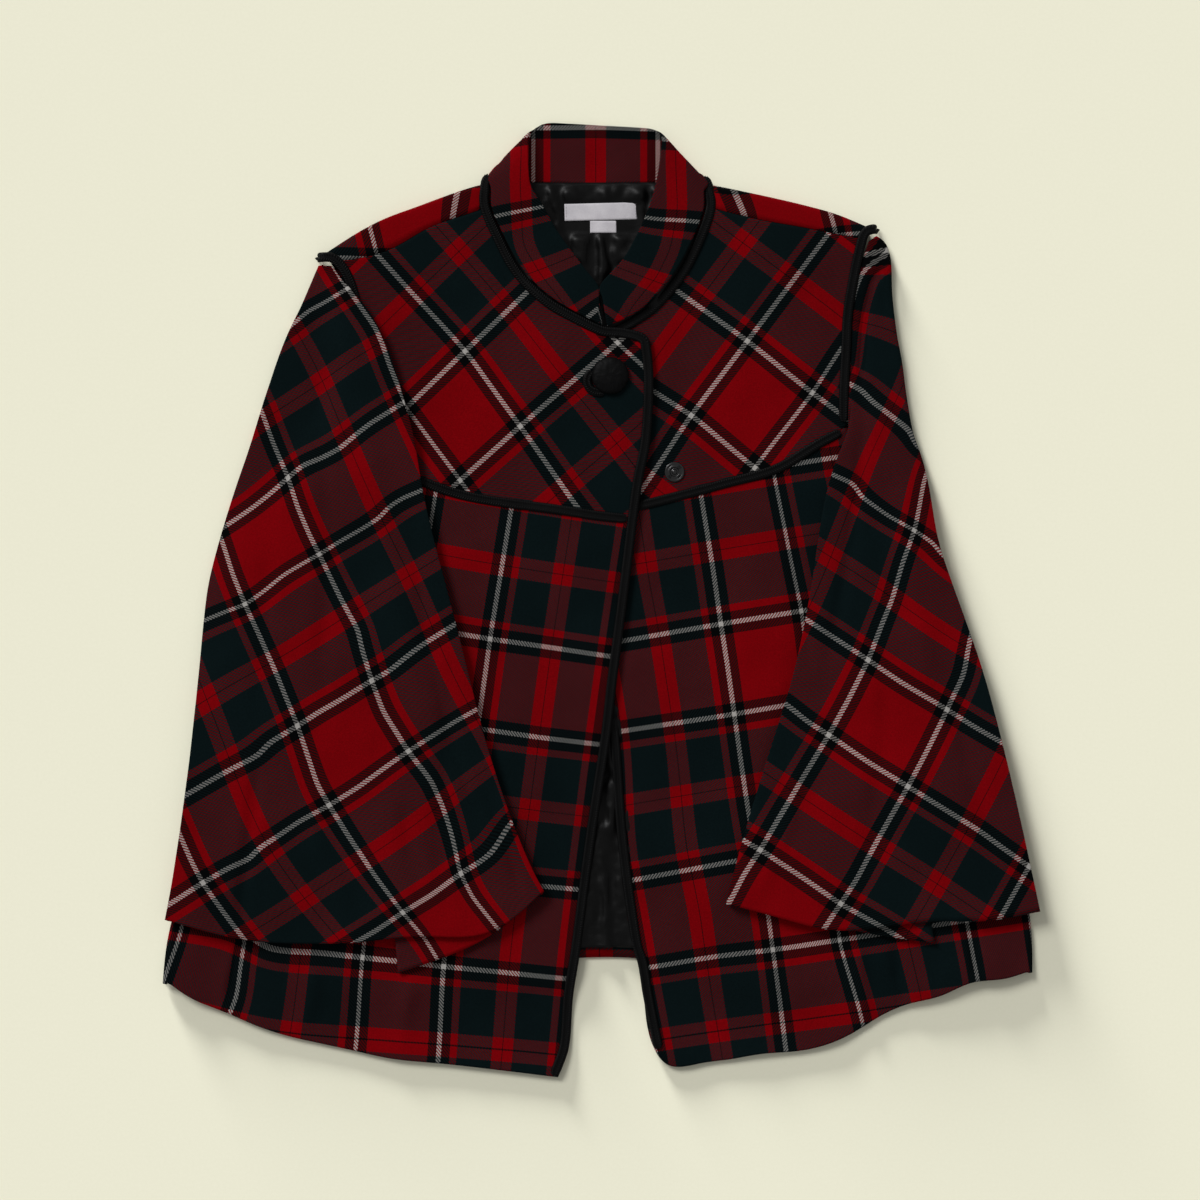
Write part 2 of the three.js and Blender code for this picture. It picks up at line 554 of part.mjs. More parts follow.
// A sleeve: facing from the front seam edge to the inner fold, the upper side out to the outer fold,
// and the under side back to the back seam edge.
function buildSleeve(name, sleeve) {
  const rows = 18;
  const facingColumns = 3;
  const upperColumns = 6;
  const underColumns = 4;
  const foldSteps = 3;
  const stations = sleeve.inner.length - 1;
  const read = (table, i) => rowAt(table, stations * i / rows);
  const inset = SLEEVE_FOLD / 2 + WOOL / 2;
  const upperHem = along([...sleeve.hem].reverse(), upperColumns);
  const facingHem = along(sleeve.facingHem, facingColumns);
  const grid = [];
  for (let i = 0; i <= rows; i += 1) {
    const nearCuff = (i / rows) ** 3;
    const inner = read(sleeve.inner, i);
    const outer = read(sleeve.outer, i);
    const front = read(sleeve.front, i);
    const back = read(sleeve.back, i);
    const turn = THREE.MathUtils.clamp(read(sleeve.turn, i), 0, 1);
    const out = direction(inner, outer);
    const innerStart = inner.clone().addScaledVector(out, inset);
    const outerStart = outer.clone().addScaledVector(out, -inset);
    const seamZ = frontHeight(front.x, front.y, false);
    const facingZ = (p) => Math.max(UNDER_SLEEVE_Z, frontHeight(p.x, p.y, false) + FACING_RISE);
    const rise = Math.min(1, 1.8 * turn);
    const foldZ = lerp(seamZ, facingZ(innerStart) + SLEEVE_FOLD, rise);

    const upper = [];
    const facingWidth = innerStart.clone().sub(front).setZ(0).length();
    for (let j = 0; j <= upperColumns; j += 1) {
      const u = j / upperColumns;
      const p = innerStart.clone().lerp(outerStart, u);
      const straight = point(sleeve.inner[stations][0], sleeve.inner[stations][1])
        .lerp(point(sleeve.outer[stations][0], sleeve.outer[stations][1]), u);
      const bow = upperHem[j].clone().sub(straight);
      p.addScaledVector(bow, nearCuff);
      const free = ease((innerStart.distanceTo(point(p.x, p.y)) - facingWidth * turn) / CAP_EASE);
      p.z = lerp(foldZ, underSleeveHeight(p.x, p.y, sleeve) + SLEEVE_FOLD, free);
      upper.push(p);
    }

    const facing = [];
    for (let j = 0; j <= facingColumns; j += 1) {
      const u = j / facingColumns;
      const p = point(front.x, front.y).lerp(innerStart, u);
      const straight = facingHem[0].clone().lerp(facingHem[facingColumns], u);
      p.addScaledVector(facingHem[j].clone().sub(straight), nearCuff);
      p.z = facingZ(p);
      facing.push(p);
    }
    const fold = innerStart.clone().addScaledVector(out, -inset + WOOL / 2);
    const turned = [...facing, ...foldPoints(facing[facingColumns], fold, upper[0], foldSteps)];
    const start = turned.map((p, k) => {
      const plain = front.clone().lerp(upper[0], k / turned.length);
      plain.z = lerp(seamZ, upper[0].z, k / turned.length);
      const z = lerp(plain.z, p.z, rise);
      return plain.lerp(p, turn).setZ(z);
    });

    const under = [];
    for (let j = 0; j <= underColumns; j += 1) {
      const p = outerStart.clone().lerp(back, j / underColumns);
      p.z = underSleeveHeight(p.x, p.y, sleeve);
      under.push(p);
    }
    const outerEdge = upper[upperColumns];
    const outerFold = outerEdge.clone().addScaledVector(out, inset - WOOL / 2);
    under[0].x = outerEdge.x;
    under[0].y = outerEdge.y;
    grid.push([...start, ...upper, ...foldPoints(outerEdge, outerFold, under[0], foldSteps), ...under]);
  }
  const facingUp = sleeve.side > 0 ? grid : grid.map((row) => [...row].reverse());
  return clothWall(name, facingUp, WOOL, colours.wool);
}

// The collar: rows run from the free edge to the seam edge, columns round the neck.
function buildCollar() {
  const steps = 4;
  const grid = [];
  for (let i = 0; i <= 4; i += 1) {
    const t = i / 4;
    const rise = Math.sin(Math.PI * t) * 0.8;
    const station = ({ part, seam, free }) => {
      const p = point(...free).lerp(point(...seam), t);
      if (part === 'wing') p.z += rise;
      return p;
    };
    const foldAt = ({ seam, free }) => point(...free).lerp(point(...seam), t);
    const row = [];
    COLLAR.forEach((entry, k) => {
      row.push(station(entry));
      if (entry.part !== 'fold') return;
      const fold = foldAt(entry.seam[0] < 0 ? COLLAR_FOLD_RIGHT : COLLAR_FOLD_LEFT);
      row.push(...foldPoints(station(entry), fold, station(COLLAR[k + 1]), steps));
    });
    grid.push(row);
  }
  return clothWall('collar', grid, COLLAR_WALL, colours.wool);
}

// A braid lying on the given pieces along a line in plan. Where it turns down round a fold, the
// middle points of that turn come first.
function buildBraid(name, line, pieces, turn = []) {
  const half = BRAID_WIDTH / 2;
  const offsets = [-half, 0, half];
  const last = line.length - 1;
  const grid = line.map((p, i) => {
    const run = direction(line[Math.max(i - 1, 0)], line[Math.min(i + 1, last)]);
    const across = point(-run.y, run.x);
    const around = [[0, 0], [1.6, 0], [-1.6, 0], [0, 1.6], [0, -1.6]];
    const clothTop = (q) => Math.max(...around.map(([dx, dy]) => topAt(pieces, q.x + dx, q.y + dy) ?? 0));
    return offsets.map((offset) => {
      const q = p.clone().addScaledVector(across, -offset);
      q.z = (clothTop(q) || clothTop(p)) + SEAM_GAP + BRAID_WALL / 2;
      return q;
    });
  });
  const first = turn.map(([x, y, z]) => {
    const across = grid[0][0].clone().sub(grid[0][1]).setZ(0);
    return [point(x, y, z).add(across), point(x, y, z), point(x, y, z).sub(across)];
  });
  return clothWall(name, [...first, ...grid], BRAID_WALL, colours.braid);
}

// A line moved sideways in plan by the given distance, to the left of its run when positive.
function beside(points, distance) {
  const last = points.length - 1;
  return points.map((p, i) => {
    const run = direction(points[Math.max(i - 1, 0)], points[Math.min(i + 1, last)]);
    return point(p.x - run.y * distance, p.y + run.x * distance);
  });
}

function lathe(name, profile, segments, material) {
  const geometry = new THREE.LatheGeometry(profile.map(([r, z]) => new THREE.Vector2(r, z)), segments);
  geometry.rotateX(Math.PI / 2);
  const mesh = new THREE.Mesh(geometry, material);
  mesh.name = name;
  return mesh;
}

// A flat sheet of cloth lying level, its corners rounded when a radius is given.
function flatSheet(name, size, wall, radius, material) {
  const { width, height } = size;
  const shape = new THREE.Shape();
  const corners = [[1, 1, 0], [-1, 1, 90], [-1, -1, 180], [1, -1, 270]];
  for (const [sx, sy, start] of corners) {
    const from = THREE.MathUtils.degToRad(start);
    const centre = [sx * (width / 2 - radius), sy * (height / 2 - radius)];
    shape.absarc(centre[0], centre[1], radius, from, from + Math.PI / 2, false);
  }
  const geometry = new THREE.ExtrudeGeometry(shape, { depth: wall, bevelEnabled: false, curveSegments: 4 });
  const mesh = new THREE.Mesh(geometry, material);
  mesh.name = name;
  mesh.rotation.z = THREE.MathUtils.degToRad(size.turn);
  return mesh;
}

const rightTables = {
  shoulder: SHOULDER_SEAM_RIGHT, neck: NECK_RIGHT, lap: LAP_TOP_RIGHT, yokeSeam: YOKE_SEAM_RIGHT,
  armhole: ARMHOLE_RIGHT, edge: FRONT_EDGE_RIGHT, side: SIDE_RIGHT, hem: HEM_RIGHT,
};
const leftTables = {
  shoulder: SHOULDER_SEAM_LEFT, neck: NECK_LEFT, lap: LAP_TOP_LEFT, yokeSeam: YOKE_SEAM_LEFT,
  armhole: ARMHOLE_LEFT, edge: FRONT_EDGE_LEFT, side: SIDE_LEFT, hem: HEM_LEFT,
};

const back = buildBack();
const lining = buildLining();
const yokeRight = buildYoke('yoke_right', -1, rightTables, true);
const yokeLeft = buildYoke('yoke_left', 1, leftTables, false);
const frontRight = buildFront('front_right', -1, rightTables, true);
const frontLeft = buildFront('front_left', 1, leftTables, false);
const sleeveRight = buildSleeve('sleeve_right', SLEEVE_RIGHT);
const sleeveLeft = buildSleeve('sleeve_left', SLEEVE_LEFT);
const collar = buildCollar();

// Braids lie just inside the edges that they trim, and end short of each other.
const BRAID_INSET = BRAID_WIDTH / 2 + 0.5;
const edgeLine = (tables, side) => beside(
  chain(along(tables.neck, 12), along(tables.lap, 5), along(tables.edge, 28)),
  side * BRAID_INSET,
);
const yokeLine = (tables) => {
  const points = along(tables.yokeSeam, 24);
  return points.slice(2, points.length - 2);
};

const group = new THREE.Group();
group.add(back, lining, yokeRight, yokeLeft, frontRight, frontLeft, sleeveRight, sleeveLeft, collar);
group.add(
  buildBraid('braid_front_right', edgeLine(rightTables, -1), [yokeRight, frontRight]),
  buildBraid('braid_front_left', edgeLine(leftTables, 1), [yokeLeft, frontLeft]),
  buildBraid('braid_yoke_right', yokeLine(rightTables), [yokeRight, frontRight]),
  buildBraid('braid_yoke_left', yokeLine(leftTables), [yokeLeft, frontLeft]),
  buildBraid('braid_armhole_right', along(BRAID_ARMHOLE_RIGHT, 16), [yokeRight, back], BRAID_TURN_RIGHT),
  buildBraid('braid_armhole_left', along(BRAID_ARMHOLE_LEFT, 16), [yokeLeft, back], BRAID_TURN_LEFT),
);

const fastenings = [
  { place: BUTTON, on: yokeRight, mesh: lathe('button', [
    [0, 0], [13, 0], [15.2, 1.6], [14.8, 4], [12, 6.2], [6.5, 7.3], [0, 7.5],
  ], 28, colours.button), lift: 2 },
  { place: SNAP, on: yokeLeft, mesh: lathe('snap', [
    [0, 0], [8, 0], [8, 0.9], [6.6, 1.5], [4.4, 1.6], [3.4, 1.1], [2.2, 1.2], [1.6, 2.6], [0, 2.6],
  ], 20, colours.snap), lift: 0.4 },
];
for (const { place, on, mesh, lift } of fastenings) {
  mesh.position.set(place.x, place.y, topAt([on], place.x, place.y) + lift);
  group.add(mesh);
}

const binding = flatSheet('buttonhole_binding', BINDING, BINDING.wall, BINDING.radius, colours.braid);
binding.position.set(BINDING.x, BINDING.y, topAt([yokeRight], BINDING.x, BINDING.y) + 0.5);
const label = flatSheet('label', LABEL, LABEL_WALL, 0.3, colours.label);
label.position.set(LABEL.x, LABEL.y, LINING_Z + SATIN / 2 + SEAM_GAP);
const sizeTag = flatSheet('size_tag', SIZE_TAG, LABEL_WALL, 0.3, colours.label);
sizeTag.position.set(SIZE_TAG.x, SIZE_TAG.y, LINING_Z + SATIN / 2 + SEAM_GAP);
group.add(binding, label, sizeTag);

// Bring the middle of the underside to the origin.
const box = new THREE.Box3().setFromObject(group);
const middle = box.getCenter(point(0, 0));
for (const mesh of group.children) mesh.position.sub(point(middle.x, middle.y, box.min.z));

export default group;
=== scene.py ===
# A cape-style wool swing jacket lying flat, front up: tartan wool, black satin lining, black braid.
# Tables are in millimetres in the part's own frame, +Z up from the table, +Y towards the collar,
# +X to the wearer's left. "right" and "left" are the wearer's.
import math

import bmesh
import bpy
import numpy as np
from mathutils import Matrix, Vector, noise
from mathutils.bvhtree import BVHTree


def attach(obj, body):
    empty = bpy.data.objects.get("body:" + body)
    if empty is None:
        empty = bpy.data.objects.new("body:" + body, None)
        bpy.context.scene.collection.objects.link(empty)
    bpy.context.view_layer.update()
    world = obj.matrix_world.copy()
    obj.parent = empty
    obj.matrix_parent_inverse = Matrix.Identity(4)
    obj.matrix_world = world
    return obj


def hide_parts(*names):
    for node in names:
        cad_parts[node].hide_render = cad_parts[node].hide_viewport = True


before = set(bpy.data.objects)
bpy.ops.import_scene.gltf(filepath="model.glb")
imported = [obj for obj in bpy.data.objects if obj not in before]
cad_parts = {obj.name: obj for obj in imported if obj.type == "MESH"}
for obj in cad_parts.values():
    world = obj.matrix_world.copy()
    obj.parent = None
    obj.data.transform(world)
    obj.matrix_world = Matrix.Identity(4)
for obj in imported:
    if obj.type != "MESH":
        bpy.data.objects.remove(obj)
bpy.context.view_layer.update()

MM = 0.001

# Sett of the tartan, in millimetres: the width from white line to white line over the red ground
# and over the green ground, along the warp and along the weft
WARP_RED = 65.6
WARP_GREEN = 104.0
WEFT_RED = 72.8
WEFT_GREEN = 118.4
# One thread's width, the threads in a step of the twill, and how dark a pale thread shows below one
THREAD = 0.635
TWILL_STEPS = 4
SUNK_THREAD = 0.42



def half_sett(red_end, green_end):
    """Where each colour starts from the middle of the red ground to that of the green ground."""
    line = [(red_end, "black"), (red_end + 7, "white"), (red_end + 10.6, "black"), (red_end + 17.6, "red")]
    return [(0, "red"), *line, (red_end + 23.2, "green"), (green_end, "red"), (green_end + 8.3, "black")]


WARP_STRIPES = half_sett(24.0, 76.0)
WEFT_STRIPES = half_sett(27.6, 86.8)
YARN = {
    "red": (0.215, 0.0006, 0.0028),
    "green": (0.0068, 0.0168, 0.0186),
    "black": (0.0040, 0.0050, 0.0056),
    "white": (0.43, 0.41, 0.385),
}
# Black trims: scale of the grain, darkest and lightest tone, roughness, shine and depth of the grain
DARK_FIBRES = {
    "black_braid": (1400.0, 0.0012, 0.0042, 0.45, 0.10, 0.0003),
    "black_button_cloth": (700.0, 0.0014, 0.0045, 0.55, 0.08, 0.0004),
    "black_snap": (260.0, 0.0014, 0.0035, 0.25, 0.7, 0.00004),
}

# Where the white lines of the sett run on each panel: the number of the line, a red ground following
# each even one and a half standing for the middle of a ground, and the places that it passes
WARP_LINES = {
    "yoke_right": {
        -1: [(14.2, 206.4), (40.2, 182.4)],
        0: [(-177.8, 276.4), (-107.8, 199.7), (-63.8, 139.7), (-17.8, 74.5)],
        1: [(-155, 154.1), (-111.8, 96.5)],
    },
    "yoke_left": {
        0: [(182.2, 292.4), (118.2, 207.7), (73.4, 148.4), (32.2, 86.5)],
        1: [(192.2, 200.4), (170.2, 166.4), (124.2, 106.5)],
    },
    "front_right": {
        0: [(-71, 72.5), (-87.8, -30.8), (-95.8, -87.5), (-125, -292.8), (-129.8, -371.6)],
        1: [(-131.8, 82.9), (-137.4, 48.5), (-189.8, -285.6), (-195.8, -361.6)],
        2: [(-284.6, -271.6), (-291.8, -319.6), (-296.6, -330.8)],
        3: [(-335.8, -267.6), (-348.6, -303.6)],
    },
    "front_left": {
        -1: [(9.9, -111.6), (14.6, -198.7), (29.8, -284.2), (42.8, -351.3)],
        -0.5: [(32.2, 62.5), (38.2, 22.5), (48.2, -31.6), (54.2, -71.6), (60.2, -111.6), (69.6, -198.7),
            (80, -251.9), (84.6, -284.2), (89.9, -318.9), (95.5, -351.3)],
        0: [(81, 84.5), (90.2, 28.4), (97, -18.8), (120.2, -175.6), (135.4, -255.6), (144.2, -319.6),
            (149, -358.8)],
        1: [(140.2, 96.5), (152.2, 36.5), (161.4, -8.4), (192.2, -273.6), (210.2, -337.6)],
        2: [(294.6, -259.6), (301.8, -299.6)],
        3: [(345, -259.6), (349, -287.6)],
    },
    "sleeve_right": {
        -1: [(-246, 221), (-233, 232), (-217, 240), (-203, 248)],
        0: [(-299, 60), (-278, 74), (-264, 85), (-249, 98), (-237, 108), (-224, 113), (-208, 121),
            (-195, 132), (-182, 142), (-169, 150), (-158, 157)],
        1: [(-317, -16), (-297, -8), (-283, -3), (-269, 7), (-253, 20), (-240, 28), (-224, 37), (-208, 47),
            (-192, 56), (-176, 66), (-168, 75), (-157, 82), (-142, 88)],
        2: [(-328, -154), (-304, -140), (-272, -123), (-264, -114), (-241, -100), (-224, -89), (-208, -80),
            (-182, -64), (-169, -57), (-153, -44), (-141, -35), (-117, -20)],
        3: [(-342, -241), (-317, -225), (-296, -213), (-280, -206), (-273, -198), (-256, -187),
            (-240, -176), (-216, -163), (-192, -148), (-173, -134), (-153, -120), (-134, -108),
            (-115, -96), (-97, -86)],
        4: [(-195, -273), (-176, -262), (-157, -249), (-134, -235), (-111, -218), (-96, -209), (-86, -201),
            (-80, -192), (-72, -179)],
    },
    "sleeve_left": {
        -1: [(211, 276), (229, 281)],
        0: [(198, 174), (209, 169), (218, 159), (230, 150), (248, 136), (253, 125)],
        1: [(187, 100), (203, 93), (209, 83), (230, 68), (251, 56), (266, 46), (273, 37)],
        2: [(166, -16), (192, -33), (215, -48), (240, -65), (277, -87), (301, -102), (322, -114)],
        3: [(151, -84), (167, -97), (183, -107), (215, -129), (246, -148), (275, -166), (304, -184),
            (323, -198), (343, -212)],
        4: [(117, -193), (128, -199), (160, -220), (192, -242), (224, -260)],
    },
    "collar_back": {
        1: [(-53.4, 372.4), (-53.4, 336.4)],
        2: [(46.6, 372.4), (46.6, 336.4)],
    },
    "wing_right": {
        0: [(-83.8, 368.4), (-43.8, 374.1)],
        1: [(-87, 306.4), (-45.8, 314.4)],
        2: [(-12.6, 223.7), (0.2, 234.4)],
    },
    "wing_left": {
        0: [(40.2, 369.2), (80.2, 367.7)],
        1: [(39.2, 305.4), (81, 302.4)],
        2: [(0.2, 222.8), (17.8, 206.8)],
    },
    "back": {
        -1: [(-208, 170), (206, 190)],
        0: [(-208, 274), (-182, 273.2), (0, 276), (197.4, 293), (209, 293.7)],
        1: [(-100, 338), (0, 340), (88.2, 333.5), (102.6, 330.6)],
        -6: [(-340, -235), (0, -235), (340, -235)],
    },
}
WEFT_LINES = {
    "yoke_right": {
        0: [(-59.8, 245.2), (-107.8, 199.7), (-155, 154.1)],
        1: [(14.2, 206.4), (-63.8, 139.7), (-111.8, 96.5)],
    },
    "yoke_left": {
        0: [(62.2, 247.7), (118.2, 207.7), (170.2, 166.4), (194.2, 148.4)],
        1: [(42.2, 168.4), (73.4, 148.4), (124.2, 106.5)],
    },
    "front_right": {
        0: [(-111.8, -26.8), (-87.8, -30.8), (-47.8, -36.4), (6.2, -44.4)],
        1: [(-89.8, -103.5), (-47.8, -109.5), (-1.8, -114.8)],
        2: [(-45.8, -228.8), (-15.8, -231.6)],
        3: [(-345, -254), (-292, -261), (-265.8, -277.6), (-189.8, -285.6), (-125, -292.8),
            (-27.8, -302.8)],
    },
    "front_left": {
        0: [(18.2, -32.4), (97, -18.8), (161.4, -8.4)],
        1: [(15.4, -104.8), (107.4, -90.8), (150.2, -83.5)],
        2: [(28.2, -223.6), (72.2, -215.6), (110.2, -208.4)],
        3: [(40.2, -293.6), (88.2, -285.6), (138.2, -279.6), (192.2, -271.6)],
    },
    "sleeve_right": {
        -1: [(-213, 268), (-205, 255), (-198, 245), (-189, 232), (-179, 218), (-173, 204), (-168, 189)],
        0: [(-271, 152), (-261, 125), (-249, 98), (-241, 74), (-232, 53), (-224, 37), (-214, 16),
            (-206, 0), (-193, -24), (-190, -38), (-182, -64), (-173, -88), (-153, -120), (-134, -145),
            (-125, -166), (-118, -188), (-111, -218), (-102, -236), (-80, -264)],
        1: [(-302, 47), (-293, 21), (-283, -3), (-272, -27), (-259, -56), (-241, -100), (-235, -118),
            (-225, -147), (-216, -163), (-201, -187), (-179, -220), (-157, -249), (-142, -267)],
        2: [(-334, -190), (-326, -208), (-317, -225), (-304, -244), (-286, -268)],
    },
    "sleeve_left": {
        -1: [(231, 283), (230, 277)],
        -0.9: [(221, 259), (214, 238), (210, 215), (207, 190)],
        0: [(260, 98), (251, 56), (242, 31), (233, 0), (226, -17), (214, -48), (199, -78), (183, -107),
            (160, -145), (141, -177), (128, -199), (115, -219), (104, -240)],
        1: [(295, -33), (290, -59), (277, -87), (263, -116), (246, -148), (224, -187), (205, -222),
            (192, -242), (180, -260)],
        2: [(343, -212), (333, -230), (319, -254)],
    },
    "collar_back": {
        0: [(-47.8, 378.7), (-0.6, 379), (43.4, 377.8)],
        0.5: [(-47.8, 343.2), (-0.6, 343.2), (43.4, 342.4)],
    },
    "wing_right": {
        1.5: [(-63, 360.4), (-63.8, 332.4), (-60.6, 282.9), (-47.8, 261.2), (-27, 234.1)],
        1: [(-3.8, 332.4), (-1.4, 282.9)],
    },
    "wing_left": {
        1.5: [(61, 360.4), (61.8, 308.4), (56.2, 280.4), (46.2, 259.6), (25.8, 234.1)],
        1: [(1.8, 308.4), (-2, 285)],
    },
    "back": {
        3: [(-184.6, 302.1), (-178.2, 277.2), (-161.4, 0.5), (-145.4, -279.6)],
        2: [(-114.2, 326.1), (-118.2, 304.4), (-87.8, 0.5), (-72.6, -279.6)],
        1: [(108.2, 326.4), (116.2, 308.4), (86.6, 0.5), (71.4, -279.6)],
        0: [(184.2, 310.4), (188.2, 296.4), (160.2, 0.5), (144.2, -279.6)],
    },
}

# Each cloth piece: its levels of smoothing, how it is cut (width, length and area in metres)
CLOTH = {
    "back": {"levels": 2, "flat": (0.72, 0.68), "area": 0.328},
    "yoke_right": {"levels": 3, "flat": (0.27, 0.27), "area": 0.043},
    "yoke_left": {"levels": 3, "flat": (0.27, 0.27), "area": 0.041},
    "front_right": {"levels": 3, "flat": (0.40, 0.53), "area": 0.139},
    "front_left": {"levels": 3, "flat": (0.38, 0.53), "area": 0.130},
    "sleeve_right": {"levels": 3, "flat": (0.56, 0.60), "area": 0.194},
    "sleeve_left": {"levels": 3, "flat": (0.46, 0.60), "area": 0.130},
}
# Making of the cloth pieces: the angle of an edge that stays crisp and the rounds of smoothing
RIM_ANGLE = math.radians(75)
FIT_ROUNDS = 3
# The rumples' wavelengths and height, how deep and high a fold may go, and the height above the table
# from which it is whole
RUMPLE_LENGTHS = (150, 120, 95, 80, 66, 58, 50, 44, 38, 33, 29)
RUMPLE_HEIGHT = 0.6
LOWEST_FOLD = -2.2
HIGHEST_FOLD = 3
FREE_HEIGHT = 4
# The fronts' hem: how far it stands up, and the width of cloth that stands up with it
HEM_LIFT = 2.4
HEM_WIDTH = 20

# Braids: the place of the centred jacket, their steps, height on the cloth, distance from an edge and
# thickness at their ends, and their lines: round the neck and down the front, on the yokes' seams, and
# down the armholes from their turns under the shoulders
PLACE = (-0.6, 0.45)
BRAID_STEP = 1.6
BRAID_LIFT = 0.55
BRAID_INSET = 3.5
BRAID_TAPER = (0.55, 0.85, 0.97)
EDGE_RIGHT = [
    (-85.2, 337.6), (-86.9, 334.6), (-87.8, 329), (-88, 316), (-79.2, 294.4), (-63.2, 264.8),
    (-40, 241.6), (-16.8, 228), (3.2, 218.8), (18.4, 217.2), (31.2, 214.4), (38.4, 210.4),
    (40.8, 203.2), (43.2, 176), (40.8, 128), (34.4, 94.4), (30, 62.4), (22.4, 0), (14, -64),
    (8.4, -112), (-3.6, -192), (-15.2, -280), (-21.1, -317.6), (-24.3, -357.6), (-32.6, -381.6),
]
EDGE_LEFT = [
    (81.2, 335.4), (83.3, 332.6), (84.8, 326), (85.8, 314.4), (79.2, 294.4), (64.8, 264.8),
    (44, 239.2), (25.6, 225.6), (12.8, 218.8), (0.8, 213.6), (-19.2, 209.6), (-32.8, 206.4),
    (-37.6, 198.4), (-28.8, 136), (-17.6, 66.4), (-6.4, -8), (3.2, -72), (8.8, -108), (15.2, -192),
    (26, -272), (31.6, -292), (35.7, -317.6), (44.2, -360),
]
YOKE_SEAM_RIGHT = [
    (-182, 118), (-171.2, 110.4), (-142.4, 95.2), (-102.4, 82.4), (-36.8, 72.8), (0.8, 67.2), (22, 65),
]
YOKE_SEAM_LEFT = [
    (193, 134), (184, 129.5), (172.8, 123.2), (141.6, 104.8), (99.2, 92.8), (69.6, 84.8), (31.2, 75.2),
    (4, 70),
]
ARMHOLE_SEAMS = {
    "right": [
        (-214.8, 274), (-212.8, 273.8), (-204.8, 265.6), (-199.2, 254.4), (-194.4, 236.8), (-192.4, 208),
        (-191.6, 172), (-192.4, 135.2),
    ],
    "left": [
        (212.8, 294.8), (210, 290.4), (206, 275.2), (202, 255.2), (198, 229.6), (196.4, 196.8),
        (194.8, 164), (194.8, 143.2),
    ],
}
ARMHOLE_SHIFT = 1.2
ARMHOLE_TURNS = {
    "right": [(-224.4, 274, 1.3), (-224.4, 274, 5.2), (-223.2, 274, 8.6), (-220.4, 274, 9.9)],
    "left": [(221.8, 296.8, 1.3), (221.8, 296.8, 5.2), (220.6, 296.6, 8.6), (217.8, 296.2, 9.9)],
}
# The collar: its rise, where that starts and over what run it grows, how softly the top ends, the
# height above which it is the wings in front, and the outline of its top
COLLAR_RISE = 3.4
COLLAR_RISE_START = 350
COLLAR_RISE_RUN = 28
COLLAR_SOFTNESS = 1.2
WING_HEIGHT = 6.5
COLLAR_TOP = [
    (-90, 344), (-63, 368.6), (-59.6, 372.6), (-55, 375.8), (-50.8, 378.9), (-46.4, 381.6), (-42, 382.7),
    (-37.3, 382.9), (-15, 381.6), (7.4, 380.3), (32.9, 378.9), (38.5, 378.5), (42.4, 377.7),
    (45.6, 376.4), (48.8, 374.5), (54.8, 368.6), (61.9, 360.6), (80, 342),
]
# The lining: its right edge, rows and columns, heights, and where nothing lies on it, growing over a
# run of some millimetres: the neck, round the labels, and the front opening, whose middle and half
# width are given by the place down the jacket
LINING_EDGE = [(-64, 335), (-91.2, 240), (-104.8, 80), (-95.2, -80), (-79.2, -278)]
LINING_GRID = (260, 86)
LINING_TOP = 3.25
LINING_BOTTOM = 2.45
SLACK_HEIGHT = 4.2
NECK_BOTTOM = 218
NECK_TOP = 334
NECK_HALF_WIDTH = 66
NECK_RUN = 22
LABELS_MIDDLE = (1, 306)
LABELS_HALF_SIZE = (33, 14)
OPENING_TOP = -62
OPENING_MARGIN = 9
OPENING_RUN = 12
OPENING_MIDDLE = ([-290, -110, -40], [6, 12, 12])
OPENING_HALF_WIDTH = ([-290, -200, -90, -50], [26, 14, 4, 0])
FRONT_HEMS = [
    (-349.6, -307.2), (-331.2, -316.8), (-302.4, -328.8), (-280.8, -338.4), (-248, -349.6),
    (-212, -357.6), (-163.2, -368), (-128, -371.2), (-85.6, -376), (-32.8, -382.4), (55.2, -372.8),
    (96.8, -369.6), (126.4, -364), (168.8, -360), (198.4, -349.6), (212.8, -340.8), (242.4, -324.8),
    (266.4, -320), (283.2, -312.8), (304.8, -304), (334.4, -303.2), (347.2, -298.4),
]

